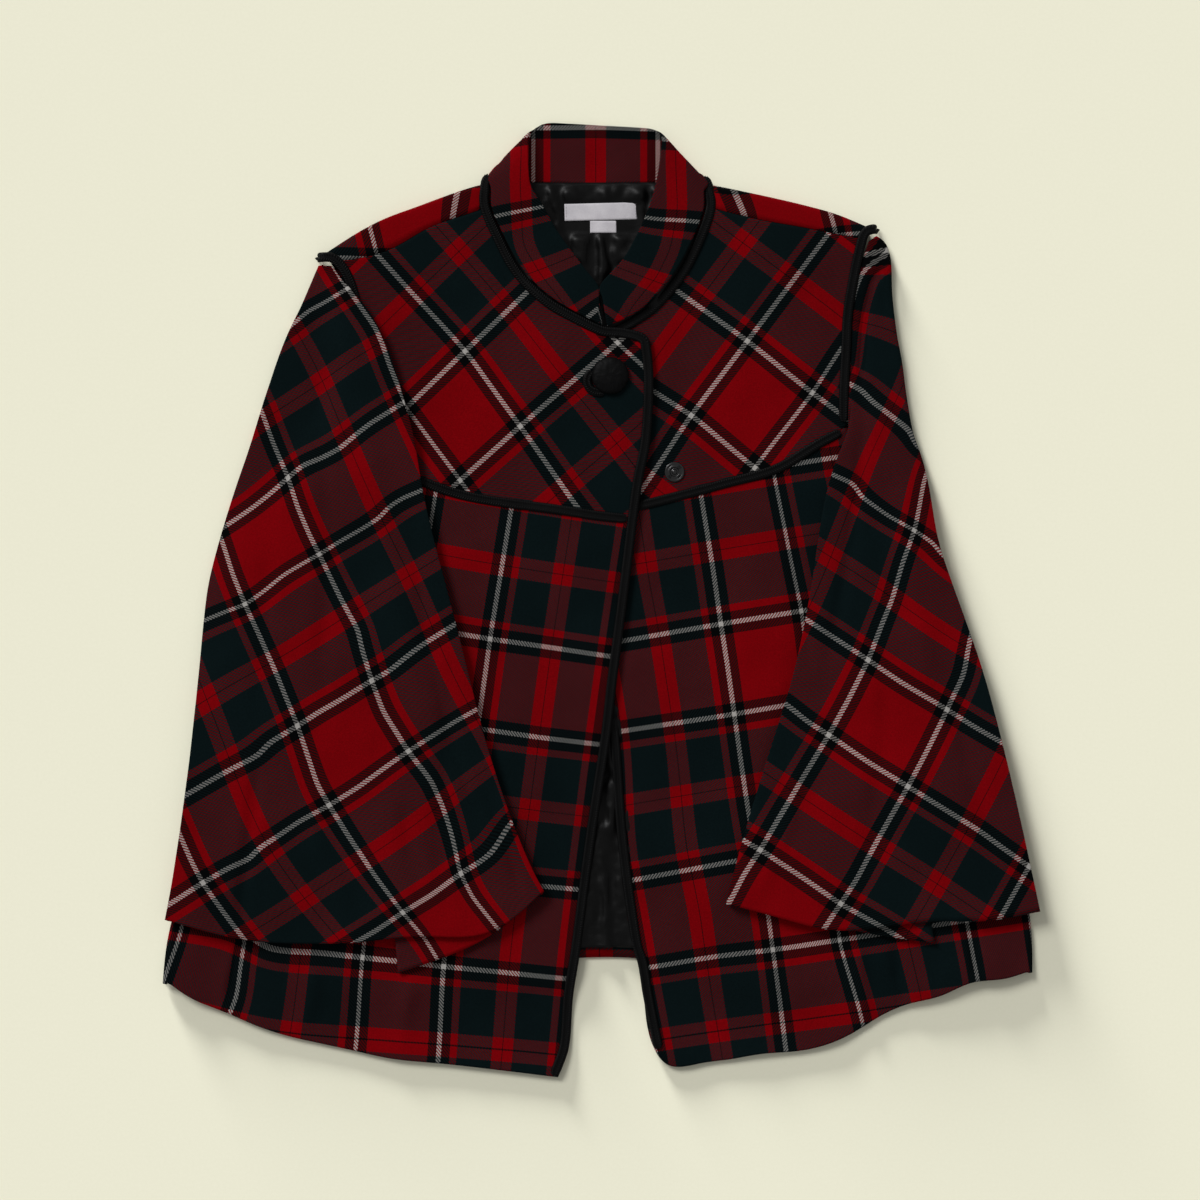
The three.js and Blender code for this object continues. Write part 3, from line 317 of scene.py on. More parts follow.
# Folds of the cloth: the line of each, its half width and its height, which is below 0 for a crease.
# Over a share of its length at each end, a fold fades to a least share of its height
FOLD_STRENGTH = 1.9
FOLD_FADE = 0.25
FOLD_LEAST = 0.15
FOLDS = [
    ([(-272, -123), (-275, -150), (-281, -198), (-285, -236), (-286, -272)], 5, -1.3),
    ([(-228, 215), (-222, 120), (-215, 40), (-222, -40), (-215, -120)], 8, -0.8),
    ([(-196, 190), (-180, 100), (-165, 20), (-150, -60), (-128, -140)], 11, 0.9),
    ([(-262, 60), (-270, -40), (-273, -115)], 8, -0.8),
    ([(-150, 60), (-140, -20), (-118, -110), (-95, -190)], 6, -0.9),
    ([(-92, -150), (-72, -200), (-62, -240)], 5, -0.9),
    ([(-240, -140), (-222, -200), (-196, -262)], 9, 0.9),
    ([(-160, -150), (-150, -205), (-138, -262)], 7, -0.8),
    ([(-286, -268), (-290, -290), (-297, -322)], 4, -2.2),
    ([(230, 276), (218, 253), (213, 225), (210, 183), (209, 162)], 4, -1.3),
    ([(213, 165), (206, 87), (196, 20), (180, -60)], 6, -1.0),
    ([(240, 120), (250, 20), (262, -60), (285, -150)], 11, 0.9),
    ([(278, -60), (300, -150), (318, -220)], 7, -0.8),
    ([(232, -20), (226, -110), (214, -200), (206, -255)], 8, -0.8),
    ([(160, -120), (150, -180), (128, -236)], 6, 0.8),
    ([(295, -252), (299.5, -275), (303, -303)], 4, -2.2),
    ([(141, -262), (143, -285), (150, -330)], 5, -1.0),
    ([(205, -270), (208, -300), (213, -345)], 7, 1.4),
    ([(236, -270), (240, -300), (245, -325)], 6, -1.2),
    ([(-120, -20), (-124, -140), (-128, -250)], 8, -0.9),
    ([(-150, -300), (-156, -330), (-160, -366)], 8, 1.2),
    ([(-225, -285), (-232, -320), (-240, -350)], 8, 1.1),
    ([(150, 60), (160, 0), (168, -50)], 6, -1.0),
    ([(-180, 250), (-150, 190), (-140, 120)], 12, 0.6),
    ([(120, 240), (150, 190), (178, 150)], 10, -0.6),
]

# Fastenings, with profiles of (radius, height) from the middle of the underside to that of the top
BUTTON_PLACE = (8.4, 179.7)
BUTTON_PROFILE = [
    (0, 0.2), (9, 0.2), (12.6, 0.4), (14.2, 1.1), (14.9, 2.2), (14.8, 3.2), (14.2, 4.3), (13.0, 5.4),
    (11.2, 6.3), (9.0, 6.95), (6.4, 7.35), (3.4, 7.5), (0, 7.55),
]
BUTTONHOLE = [(-6.4, 183), (-9.6, 178), (-9.4, 172.4), (-6.2, 168.2), (-1.4, 166.6), (3.4, 166.8)]
BUTTONHOLE_LIFT = 0.9
SNAP_PLACE = (59.8, 102.9)
SNAP_PROFILE = [
    (0, 0.1), (7.4, 0.1), (8.0, 0.5), (7.9, 1.0), (7.3, 1.35), (6.6, 1.3), (6.1, 0.95), (5.4, 0.9),
    (4.9, 1.35), (4.3, 1.6), (3.8, 1.35), (3.3, 0.8), (2.5, 0.75), (2.0, 1.1), (1.9, 2.1), (1.6, 2.5),
    (1.0, 2.65), (0, 2.7),
]
# Each of the snap's four holes has three stitches, given by radius and height at both ends
SNAP_STITCH = [(5.2, 1.35), (8.9, 1.0)]
SNAP_STITCH_TURNS = (-0.18, 0, 0.18)

# Labels: middle, width and height, and the label's turn in degrees
LABEL_PLACE = (0.8, 311.6)
LABEL_SIZE = (58, 13.6)
LABEL_TURN = 1.4
TAG_PLACE = (2.8, 299.4)
TAG_SIZE = (21, 9.6)
LABEL_GRID = (12, 40)
# The stitches at the label's ends: distance from its middle, lowest and highest place
END_STITCHES = (28.0, 306, 317.4)

# Sizes of the trims, in metres
BRAID_SIZES = {
    "Width": 0.0078, "Height": 0.0026, "Pitch": 0.0019, "Thread": 0.0017, "Reach": 0.0046, "Spread": 0.0020,
}
BUTTONHOLE_SIZES = {
    "Width": 0.0075, "Height": 0.0036, "Pitch": 0.0015, "Thread": 0.0019, "Reach": 0.0042, "Spread": 0.0014,
}
SNAP_STITCH_SIZES = {"Pitch": 0.009, "Thread": 0.0042, "Reach": 0.0006, "Height": 0.0007}
LABEL_STITCH_SIZES = {"Pitch": 0.0022, "Thread": 0.0015, "Reach": 0.0004, "Height": 0.0004}
THREAD_SLANT = 32

# Camera, floor and light, in metres
VIEW_CENTRE = (0.0002, 0.0004)
VIEW_HEIGHT = 0.008
LENS = 100.0
SENSOR = 36.0
FRAME_WIDTH = 0.96
FLOOR = 6.0
FLOOR_DARK = (0.765, 0.750, 0.595)
FLOOR_LIGHT = (0.800, 0.785, 0.630)
SKY = 0.33
KEY_PLACE = (-0.55, 0.62, 0.60)
KEY_POWER = 1.95
LOW_PLACE = (-0.42, 0.91, 0.123)
LOW_POWER = 9.3


def sett_place(number, red, green):
    """Distance along the cloth of a numbered white line, or of the middle of a ground at a half."""
    pair = math.floor(number / 2)
    rest = number - 2 * pair
    return pair * (red + green) + (rest * red if rest <= 1 else red + (rest - 1) * green)


def radial(distance):
    return np.where(distance > 1e-9, distance ** 2 * np.log(np.maximum(distance, 1e-9)), 0.0)


def plate_map(lines, red, green):
    """A smooth function of the place in plan, worked out from lines of known cloth distance."""
    places = []
    values = []
    for number, points in lines.items():
        value = sett_place(number, red, green)
        for (x0, y0), (x1, y1) in zip(points, points[1:]):
            places += [(x0, y0), ((x0 + x1) / 2, (y0 + y1) / 2)]
            values += [value, value]
        places.append(points[-1])
        values.append(value)
    pins = np.array(places) / 100
    count = len(pins)
    gaps = np.linalg.norm(pins[:, None] - pins[None], axis=2)
    affine = np.hstack([np.ones((count, 1)), pins])
    system = np.zeros((count + 3, count + 3))
    system[:count, :count] = radial(gaps) + 0.004 * np.eye(count)
    system[:count, count:] = affine
    system[count:, :count] = affine.T
    weights = np.linalg.solve(system, np.concatenate([values, np.zeros(3)]))

    def read(xy):
        q = xy / 100
        near = np.linalg.norm(q[:, None] - pins[None], axis=2)
        return radial(near) @ weights[:count] + weights[count] + q @ weights[count + 1:]

    return read


def sett_map(panel):
    """Cloth distances along the weft and the warp, in metres, at places in plan in millimetres."""
    across = plate_map(WARP_LINES[panel], WARP_RED, WARP_GREEN)
    along = plate_map(WEFT_LINES[panel], WEFT_RED, WEFT_GREEN)
    return lambda xy: np.stack([across(xy), along(xy)], axis=1) * MM


# Node trees


def add_node(tree, kind, inputs=None, **settings):
    """Adds a node, sets its properties, and links or sets its inputs."""
    node = tree.nodes.new(kind)
    for name, value in settings.items():
        setattr(node, name, value)
    for name, value in (inputs or {}).items():
        socket = node.inputs[name]
        if isinstance(value, bpy.types.NodeSocket):
            tree.links.new(value, socket)
        else:
            socket.default_value = value
    return node


def add(tree, kind, inputs=None, **settings):
    """Adds a node and gives its first output."""
    return add_node(tree, kind, inputs, **settings).outputs[0]


def math_node(tree, operation, *values):
    return add(tree, "ShaderNodeMath", dict(enumerate(values)), operation=operation)


def vector_math(tree, operation, inputs):
    return add(tree, "ShaderNodeVectorMath", inputs, operation=operation)


def map_range(tree, value, *ends):
    """A value moved from one range to another, given by four ends."""
    return add(tree, "ShaderNodeMapRange", dict(enumerate((value, *ends))))


def mix_colour(tree, share, first, second):
    return add_node(tree, "ShaderNodeMix", {0: share, 6: first, 7: second}, data_type="RGBA").outputs[2]


def texture(tree, kind, inputs, **settings):
    """A texture over the piece's own coordinates."""
    place = add_node(tree, "ShaderNodeTexCoord").outputs["Object"]
    return add_node(tree, "ShaderNodeTex" + kind, {"Vector": place, **inputs}, **settings)


def speckle(tree, scale, detail, **inputs):
    return texture(tree, "Noise", {"Scale": scale, "Detail": detail, **inputs}).outputs[0]


def two_tone(tree, value, low, high, dark, light):
    """A colour that goes from dark to light as a value goes from low to high."""
    ramp = add_node(tree, "ShaderNodeValToRGB", {0: value})
    for stop, place, colour in zip(ramp.color_ramp.elements, (low, high), (dark, light)):
        stop.position = place
        stop.color = (*colour, 1)
    return ramp.outputs[0]


def new_material(name, finish):
    material = bpy.data.materials.new(name)
    material.use_nodes = True
    tree = material.node_tree
    tree.nodes.clear()
    surface = add_node(tree, "ShaderNodeBsdfPrincipled", finish)
    add_node(tree, "ShaderNodeOutputMaterial", {"Surface": surface.outputs[0]})
    return material, tree, surface


def colour_surface(tree, surface, colour):
    tree.links.new(colour, surface.inputs["Base Color"])


def raise_surface(tree, surface, height, strength, distance, **inputs):
    """Bumps a surface, over another bump where its normal is given."""
    sizes = {"Height": height, "Strength": strength, "Distance": distance}
    bump = add(tree, "ShaderNodeBump", {**sizes, **inputs})
    tree.links.new(bump, surface.inputs["Normal"])
    return bump


def stripe_colour(tree, thread_number, red, green, stripes):
    """Colour of a numbered thread from its place in the sett."""
    half = (red + green) / 2
    place = math_node(tree, "MULTIPLY_ADD", thread_number, THREAD, THREAD / 2 - red / 2)
    folded = math_node(tree, "PINGPONG", place, half)
    ramp = add_node(tree, "ShaderNodeValToRGB", {0: math_node(tree, "DIVIDE", folded, half)})
    ramp.color_ramp.interpolation = "CONSTANT"
    stops = ramp.color_ramp.elements
    stops[1].position = stripes[-1][0] / half
    stops[0].color = (*YARN[stripes[0][1]], 1)
    stops[1].color = (*YARN[stripes[-1][1]], 1)
    for start, yarn in stripes[1:-1]:
        stops.new(start / half).color = (*YARN[yarn], 1)
    return ramp.outputs[0]


def tartan_wool():
    material, tree, surface = new_material("tartan_wool", {
        "Roughness": 0.92, "Specular IOR Level": 0.02, "Sheen Weight": 0.004, "Sheen Roughness": 0.6,
    })
    uv = add(tree, "ShaderNodeUVMap", uv_map="sett")
    split = add_node(tree, "ShaderNodeSeparateXYZ", {0: uv})
    warp = math_node(tree, "DIVIDE", split.outputs[0], THREAD * MM)
    weft = math_node(tree, "DIVIDE", split.outputs[1], THREAD * MM)
    warp_number = math_node(tree, "FLOOR", warp)
    weft_number = math_node(tree, "FLOOR", weft)
    warp_colour = stripe_colour(tree, warp_number, WARP_RED, WARP_GREEN, WARP_STRIPES)
    weft_colour = stripe_colour(tree, weft_number, WEFT_RED, WEFT_GREEN, WEFT_STRIPES)

    step = math_node(tree, "FLOORED_MODULO", math_node(tree, "ADD", warp_number, weft_number), TWILL_STEPS)
    warp_on_top = math_node(tree, "LESS_THAN", step, TWILL_STEPS / 2)
    woven = mix_colour(tree, warp_on_top, weft_colour, warp_colour)
    below = mix_colour(tree, warp_on_top, warp_colour, weft_colour)
    below_light = add(tree, "ShaderNodeRGBToBW", {0: below})
    sunk = map_range(tree, below_light, 0.012, 0.04, SUNK_THREAD, 1.0)

    # Heather: fibres lift and dull the colour from thread to thread, and the cloth clouds slowly
    fibre = speckle(tree, 900.0, 4.0, Roughness=0.7)
    fibre_gain = map_range(tree, fibre, 0.25, 0.75, 0.72, 1.28)
    cloud_gain = map_range(tree, speckle(tree, 14.0, 3.0), 0.3, 0.7, 0.9, 1.1)
    gain = math_node(tree, "MULTIPLY", math_node(tree, "MULTIPLY", fibre_gain, cloud_gain), sunk)
    colour_surface(tree, surface, vector_math(tree, "SCALE", {0: woven, "Scale": gain}))

    # Relief: each float of the twill is a low ridge, under a fine nap
    weft_ridge, warp_ridge = [
        math_node(tree, "PINGPONG", math_node(tree, "FRACT", number), 0.5) for number in (weft, warp)
    ]
    top = add(tree, "ShaderNodeMix", {0: warp_on_top, 2: weft_ridge, 3: warp_ridge}, data_type="FLOAT")
    nap = math_node(tree, "MULTIPLY", fibre, 0.6)
    raise_surface(tree, surface, math_node(tree, "ADD", top, nap), 0.55, 0.0003)
    return material


def black_satin():
    material, tree, surface = new_material("black_satin", {"Roughness": 0.42, "Specular IOR Level": 0.17})
    weave = texture(tree, "Wave", {"Scale": 900.0, "Distortion": 1.0}).outputs[1]
    crease = speckle(tree, 160.0, 5.0, Distortion=0.8)
    # The satin's colour follows the crease bump. This is painted shade, darker in the crease hollows, and a
    # painted lighter tone on the ridges.
    colour_surface(tree, surface, map_range(tree, crease, 0.3, 0.7, 0.0007, 0.0022))
    fine = raise_surface(tree, surface, weave, 0.12, 0.0001)
    raise_surface(tree, surface, crease, 0.5, 0.0004, Normal=fine)
    return material


def dark_fibre(name, scale, dark, light, roughness, specular, depth):
    """Black thread, cloth or lacquer, a little uneven in tone and height."""
    material, tree, surface = new_material(name, {"Roughness": roughness, "Specular IOR Level": specular})
    fibre = speckle(tree, scale, 5.0, Roughness=0.7)
    colour_surface(tree, surface, two_tone(
        tree, fibre, 0.3, 0.75, (dark, dark * 1.04, dark * 1.1), (light, light * 1.02, light * 1.06),
    ))
    raise_surface(tree, surface, fibre, 0.5, depth)
    return material


def white_label():
    material, tree, surface = new_material("white_label", {"Roughness": 0.7, "Specular IOR Level": 0.3})
    rib = texture(tree, "Wave", {"Scale": 620.0, "Distortion": 0.4}, bands_direction="Y").outputs[1]
    fibre = math_node(tree, "MULTIPLY", speckle(tree, 900.0, 4.0), 0.5)
    tone = math_node(tree, "ADD", fibre, speckle(tree, 90.0, 2.0))
    tone = math_node(tree, "MULTIPLY", tone, 0.66)
    colour_surface(tree, surface, two_tone(tree, tone, 0.3, 0.7, (0.60, 0.57, 0.61), (0.78, 0.75, 0.78)))
    raise_surface(tree, surface, math_node(tree, "ADD", rib, fibre), 0.4, 0.0002)
    return material


def pale_floor():
    material, tree, surface = new_material("pale_floor", {"Roughness": 0.95, "Specular IOR Level": 0.05})
    grain = speckle(tree, 400.0, 3.0)
    colour_surface(tree, surface, mix_colour(tree, grain, (*FLOOR_DARK, 1), (*FLOOR_LIGHT, 1)))
    return material


# Meshes


def link(name, mesh, material=None):
    piece = bpy.data.objects.new(name, mesh)
    bpy.context.scene.collection.objects.link(piece)
    if material:
        mesh.materials.append(material)
        shade_smooth(piece)
    return piece


def plain_mesh(piece):
    """The mesh that a piece's modifiers make."""
    bpy.context.view_layer.update()
    graph = bpy.context.evaluated_depsgraph_get()
    return bpy.data.meshes.new_from_object(piece.evaluated_get(graph), depsgraph=graph)


def finish_modifiers(piece):
    mesh = plain_mesh(piece)
    piece.modifiers.clear()
    piece.data = mesh
    shade_smooth(piece)
    return piece


def shade_smooth(piece):
    piece.data.polygons.foreach_set("use_smooth", [True] * len(piece.data.polygons))


def read_points(mesh):
    points = np.zeros(len(mesh.vertices) * 3)
    mesh.vertices.foreach_get("co", points)
    return points.reshape(-1, 3)


def write_points(mesh, points):
    mesh.vertices.foreach_set("co", points.ravel())
    mesh.update()


def merged_copy(node, name):
    """A copy of a node's solid in four-sided faces, its rims marked to stay crisp."""
    shape = bmesh.new()
    shape.from_mesh(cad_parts[node].data)
    bmesh.ops.remove_doubles(shape, verts=shape.verts, dist=2e-6)
    bmesh.ops.join_triangles(
        shape, faces=shape.faces, cmp_seam=False, cmp_sharp=False, cmp_uvs=False, cmp_vcols=False,
        cmp_materials=False, angle_face_threshold=math.radians(40), angle_shape_threshold=math.radians(70),
    )
    crease = shape.edges.layers.float.new("crease_edge")
    for edge in shape.edges:
        if edge.calc_face_angle(0) > RIM_ANGLE:
            edge[crease] = 1.0
    mesh = bpy.data.meshes.new(name)
    shape.to_mesh(mesh)
    shape.free()
    return link(name, mesh)


def smooth_copy(node, name, levels):
    """A smooth, finer copy of a node's solid that still passes through its corners."""
    piece = merged_copy(node, name)
    modifier = piece.modifiers.new("smooth", "SUBSURF")
    modifier.levels = levels
    modifier.render_levels = levels
    corners = read_points(piece.data)
    cage = corners.copy()
    for _ in range(FIT_ROUNDS):
        smooth = plain_mesh(piece)
        cage += corners - read_points(smooth)[: len(corners)]
        bpy.data.meshes.remove(smooth)
        write_points(piece.data, cage)
    return finish_modifiers(piece)


def finer_top(piece):
    """Halves the faces that look up with nothing of the piece above them."""
    shape = bmesh.new()
    shape.from_mesh(piece.data)
    shape.normal_update()
    own = BVHTree.FromBMesh(shape)
    up = Vector((0, 0, 1))
    edges = set()
    for face in shape.faces:
        if face.normal.z > 0.3 and own.ray_cast(face.calc_center_median() + up * 0.0002, up)[0] is None:
            edges.update(face.edges)
    bmesh.ops.subdivide_edges(shape, edges=list(edges), cuts=1, use_grid_fill=True)
    shape.to_mesh(piece.data)
    shape.free()
    shade_smooth(piece)


def lay_sett(piece, values):
    """Writes the cloth distances of each vertex into the piece's own UV map."""
    layer = piece.data.uv_layers.new(name="sett")
    corners = np.zeros(len(piece.data.loops), dtype=np.int64)
    piece.data.loops.foreach_get("vertex_index", corners)
    layer.data.foreach_set("uv", values[corners].ravel())


# Folds: the lie of the cloth above or below its plain shape, one field for every layer


def soft_step(t):
    t = np.clip(t, 0, 1)
    return t * t * (3 - 2 * t)


def along_line(points, xy):
    """Distance of each place from a line of points, and how far along the line it is, 0 to 1."""
    best = np.full(len(xy), 1e9)
    place = np.zeros(len(xy))
    lengths = [math.dist(a, b) for a, b in zip(points, points[1:])]
    run = 0.0
    for a, b, length in zip(points, points[1:], lengths):
        a = np.array(a, dtype=float)
        d = (np.array(b, dtype=float) - a) / length
        t = np.clip((xy - a) @ d, 0, length)
        gap = np.linalg.norm(xy - a - t[:, None] * d, axis=1)
        nearer = gap < best
        best[nearer] = gap[nearer]
        place[nearer] = (run + t[nearer]) / sum(lengths)
        run += length
    return best, place


def hem_gap(xy):
    """Distance of each place above the front hem."""
    return xy[:, 1] - np.interp(xy[:, 0], [x for x, _ in FRONT_HEMS], [y for _, y in FRONT_HEMS])


def rumple(xy):
    """Low waves in many directions, as in wool that has been folded away and laid out again."""
    waves = np.random.default_rng(11)
    height = np.zeros(len(xy))
    for length in RUMPLE_LENGTHS:
        turn, phase = waves.uniform(0, 2 * math.pi, 2)
        across = xy @ np.array([math.cos(turn), math.sin(turn)])
        height += math.sqrt(length / 60) * np.sin(2 * math.pi * across / length + phase)
    return height * RUMPLE_HEIGHT / math.sqrt(len(RUMPLE_LENGTHS))


def fold_field(xy):
    """How far the rumples and the folds lift the cloth."""
    height = rumple(xy)
    for points, half_width, rise in FOLDS:
        gap, place = along_line(points, xy)
        fade = soft_step(place / FOLD_FADE) * soft_step((1 - place) / FOLD_FADE)
        bump = rise * np.exp(-(gap / half_width) ** 2) * (gap < 4 * half_width)
        height += FOLD_STRENGTH * bump * (FOLD_LEAST + (1 - FOLD_LEAST) * fade)
    return height


def hem_lift(xy):
    """The fronts' hem stands a little off the table, in long waves."""
    x = xy[:, 0]
    wave = HEM_LIFT * (1 + 0.22 * np.sin(x / 24 + 1) + 0.08 * np.sin(x / 9.3))
    return wave * np.exp(-(np.maximum(hem_gap(xy), 0) / HEM_WIDTH) ** 2)


def laid(points, hem=False):
    """Cloth points, in millimetres, moved by the folds, which fade out at the table."""
    points = points.copy()
    rise = np.clip(fold_field(points[:, :2]), LOWEST_FOLD, HIGHEST_FOLD)
    points[:, 2] += rise * soft_step(points[:, 2] / FREE_HEIGHT)
    if hem:
        points[:, 2] += hem_lift(points[:, :2])
    points[:, 2] = np.maximum(points[:, 2], 0)
    return points


def lay_piece(piece, hem=False):
    write_points(piece.data, laid(read_points(piece.data) / MM, hem) * MM)


# Cloth


def cloth_panel(node, material):
    piece = smooth_copy(node, node + "_cloth", CLOTH[node]["levels"])
    if node.startswith(("sleeve", "front")):
        finer_top(piece)
    points = read_points(piece.data) / MM
    lay_sett(piece, sett_map(node)(points[:, :2]))
    lay_piece(piece, hem=node.startswith("front"))
    piece.data.materials.append(material)
    return piece


def collar_band(material):
    """The collar, its top edge drawn up to an even line with round corners."""
    piece = smooth_copy("collar", "collar_cloth", 3)
    points = read_points(piece.data) / MM
    limit = np.interp(points[:, 0], [x for x, _ in COLLAR_TOP], [y for _, y in COLLAR_TOP])
    points[:, 1] += COLLAR_RISE * soft_step((points[:, 1] - COLLAR_RISE_START) / COLLAR_RISE_RUN)
    over = np.maximum(points[:, 1] - (limit - COLLAR_SOFTNESS), 0)
    points[:, 1] += COLLAR_SOFTNESS * (1 - np.exp(-over / COLLAR_SOFTNESS)) - over
    write_points(piece.data, points * MM)
    plan = points[:, :2]
    sett = sett_map("collar_back")(plan)
    in_front = points[:, 2] > WING_HEIGHT
    for wing, on_side in (("wing_right", points[:, 0] <= 0), ("wing_left", points[:, 0] > 0)):
        sett[in_front & on_side] = sett_map(wing)(plan[in_front & on_side])
    lay_sett(piece, sett)
    lay_piece(piece)
    piece.data.materials.append(material)
    return piece


def closed_sheet(name, top, bottom, rows, material, rows_up=False):
    """A sheet between two grids of points in millimetres, whose rows run down or up the jacket."""
    count = len(top)
    columns = count // rows
    corners = [i * columns + j for i in range(rows - 1) for j in range(columns - 1)]
    upper = [(a, a + columns, a + columns + 1, a + 1) for a in corners]
    lower = [tuple(k + count for k in reversed(face)) for face in upper]
    grid = np.arange(count).reshape(rows, columns)
    rim = np.concatenate([grid[:, 0], grid[-1, 1:], grid[-2::-1, -1], grid[0, -2:0:-1]]).tolist()
    sides = [(b, a, a + count, b + count) for a, b in zip(rim, rim[1:] + rim[:1])]
    faces = [face[::-1] if rows_up else face for face in upper + lower + sides]
    mesh = bpy.data.meshes.new(name)
    mesh.from_pydata((np.vstack([top, bottom]) * MM).tolist(), [], faces)
    return link(name, mesh, material)


def crumple(x, y):
    """Creases of slack satin, from about -1.1 to 1.3."""
    wide, fine, deep, rough = [
        noise.noise(Vector((x / a, y / b, z)))
        for a, b, z in ((26, 38, 3.1), (9, 13, 7.7), (17, 21, 1.3), (7, 6, 5.2))
    ]
    return math.sin(x / 3.4 + 4.5 * wide + 1.6 * fine) * (0.55 + 0.9 * deep) + 0.5 * rough


def satin_lining(material):
    """The back lining, slack in the neck and in the front opening, where nothing lies on it."""
    rows, columns = LINING_GRID
    xs, ys = zip(*reversed(LINING_EDGE))
    heights = np.linspace(ys[-1], ys[0], rows)
    x = (-np.interp(heights, ys, xs)[:, None] * np.linspace(-1, 1, columns)).ravel()
    y = np.repeat(heights, columns)
    in_neck = soft_step((y - NECK_BOTTOM) / NECK_RUN) * soft_step((NECK_HALF_WIDTH - np.abs(x)) / NECK_RUN)
    from_labels = np.abs(np.column_stack([x, y]) - LABELS_MIDDLE) / LABELS_HALF_SIZE
    in_neck *= soft_step((from_labels.max(axis=1) - 0.8) / 0.4)
    half_width = np.interp(y, *OPENING_HALF_WIDTH) + OPENING_MARGIN
    in_opening = soft_step((half_width - np.abs(x - np.interp(y, *OPENING_MIDDLE))) / OPENING_RUN)
    in_opening *= soft_step((OPENING_TOP - y) / 30)
    slack = np.maximum(in_neck, in_opening) * soft_step((NECK_TOP - y) / 8)
    creases = soft_step((np.array([crumple(*place) for place in zip(x, y)]) + 1.1) / 2.4)
    top = laid(np.column_stack([x, y, LINING_TOP + slack * (0.1 + SLACK_HEIGHT * creases)]))
    bottom = laid(np.column_stack([x, y, np.full(len(x), LINING_BOTTOM)]))
    return closed_sheet("lining_cloth", top, bottom, rows, material)


# Trims that follow a line, as node trees with named sizes


def shape_tree(name, sizes):
    tree = bpy.data.node_groups.new(name, "GeometryNodeTree")
    tree.interface.new_socket("Line", in_out="INPUT", socket_type="NodeSocketGeometry")
    for size, value in sizes.items():
        tree.interface.new_socket(size, in_out="INPUT", socket_type="NodeSocketFloat").default_value = value
    tree.interface.new_socket("Finish", in_out="INPUT", socket_type="NodeSocketMaterial")
    tree.interface.new_socket("Trim", in_out="OUTPUT", socket_type="NodeSocketGeometry")
    return tree, tree.nodes.new("NodeGroupInput")


def attribute(tree, name, data_type):
    """A value that the points of the line carry."""
    node = add_node(tree, "GeometryNodeInputNamedAttribute", {"Name": name}, data_type=data_type)
    return next(socket for socket in node.outputs if socket.enabled)


def end_tree(tree, given, parts):
    join = tree.nodes.new("GeometryNodeJoinGeometry")
    for part in parts:
        tree.links.new(part, join.inputs[0])
    plain = add(tree, "GeometryNodeRealizeInstances", {0: join.outputs[0]})
    smooth = add(tree, "GeometryNodeSetShadeSmooth", {0: plain})
    finish = add(tree, "GeometryNodeSetMaterial", {0: smooth, "Material": given["Finish"]})
    add_node(tree, "NodeGroupOutput", {0: finish})
    return tree


def lumps_along(tree, curve, given, side, turn):
    """Slanted lumps of thread in a row beside the line, on the side that is 1, -1 or 0."""
    points = add_node(tree, "GeometryNodeCurveToPoints", {0: curve, "Length": given["Pitch"]}, mode="LENGTH")
    tangent = points.outputs["Tangent"]
    up = attribute(tree, "up", "FLOAT_VECTOR")
    size = attribute(tree, "size", "FLOAT")
    across = vector_math(tree, "CROSS_PRODUCT", {0: up, 1: tangent})
    shift = math_node(tree, "MULTIPLY", math_node(tree, "MULTIPLY", given["Spread"], side), size)
    offset = vector_math(tree, "SCALE", {0: across, "Scale": shift})
    moved = add(tree, "GeometryNodeSetPosition", {"Geometry": points.outputs["Points"], "Offset": offset})
    align = "FunctionNodeAlignRotationToVector"
    ahead = add(tree, align, {"Vector": tangent}, axis="X")
    upright = add(tree, align, {"Rotation": ahead, "Vector": up}, axis="Z", pivot_axis="X")
    slant = add(tree, "FunctionNodeAxisAngleToRotation", {"Axis": (0, 0, 1), "Angle": math.radians(turn)})
    turned = add(tree, "FunctionNodeRotateRotation", {0: upright, 1: slant}, rotation_space="LOCAL")
    lump = add(tree, "GeometryNodeMeshUVSphere", {"Segments": 7, "Rings": 4, "Radius": 0.5})
    shape = add(tree, "ShaderNodeCombineXYZ", {0: given["Thread"], 1: given["Reach"], 2: given["Height"]})
    scale = vector_math(tree, "SCALE", {0: shape, "Scale": size})
    places = {0: moved, "Instance": lump, "Rotation": turned, "Scale": scale}
    return add(tree, "GeometryNodeInstanceOnPoints", places)


def braid_tree():
    """A flat braid: a soft core with two rows of slanted threads that meet along its middle."""
    tree, source = shape_tree("flat_braid", BRAID_SIZES)
    given = source.outputs
    curve = add(tree, "GeometryNodeMeshToCurve", {"Mesh": given["Line"]})
    up = attribute(tree, "up", "FLOAT_VECTOR")
    stood = add(tree, "GeometryNodeSetCurveNormal", {"Curve": curve, "Normal": up}, mode="FREE")
    ring = add(tree, "GeometryNodeCurvePrimitiveCircle", {"Resolution": 12, "Radius": 0.5})
    core_height = math_node(tree, "MULTIPLY", given["Height"], 0.55)
    oval = add(tree, "ShaderNodeCombineXYZ", {0: core_height, 1: given["Width"], 2: 1.0})
    profile = add(tree, "GeometryNodeTransform", {"Geometry": ring, "Scale": oval})
    size = attribute(tree, "size", "FLOAT")
    core = add(tree, "GeometryNodeCurveToMesh", {
        "Curve": stood, "Profile Curve": profile, "Scale": size, "Fill Caps": True,
    })
    rows = [lumps_along(tree, curve, given, side, side * THREAD_SLANT) for side in (1, -1)]
    return end_tree(tree, given, [core, *rows])


def thread_tree():
    """Plain stitches of thread in a row along a line."""
    tree, source = shape_tree("stitch_row", {**LABEL_STITCH_SIZES, "Spread": 0.0})
    given = source.outputs
    curve = add(tree, "GeometryNodeMeshToCurve", {"Mesh": given["Line"]})
    return end_tree(tree, given, [lumps_along(tree, curve, given, 0, 0)])


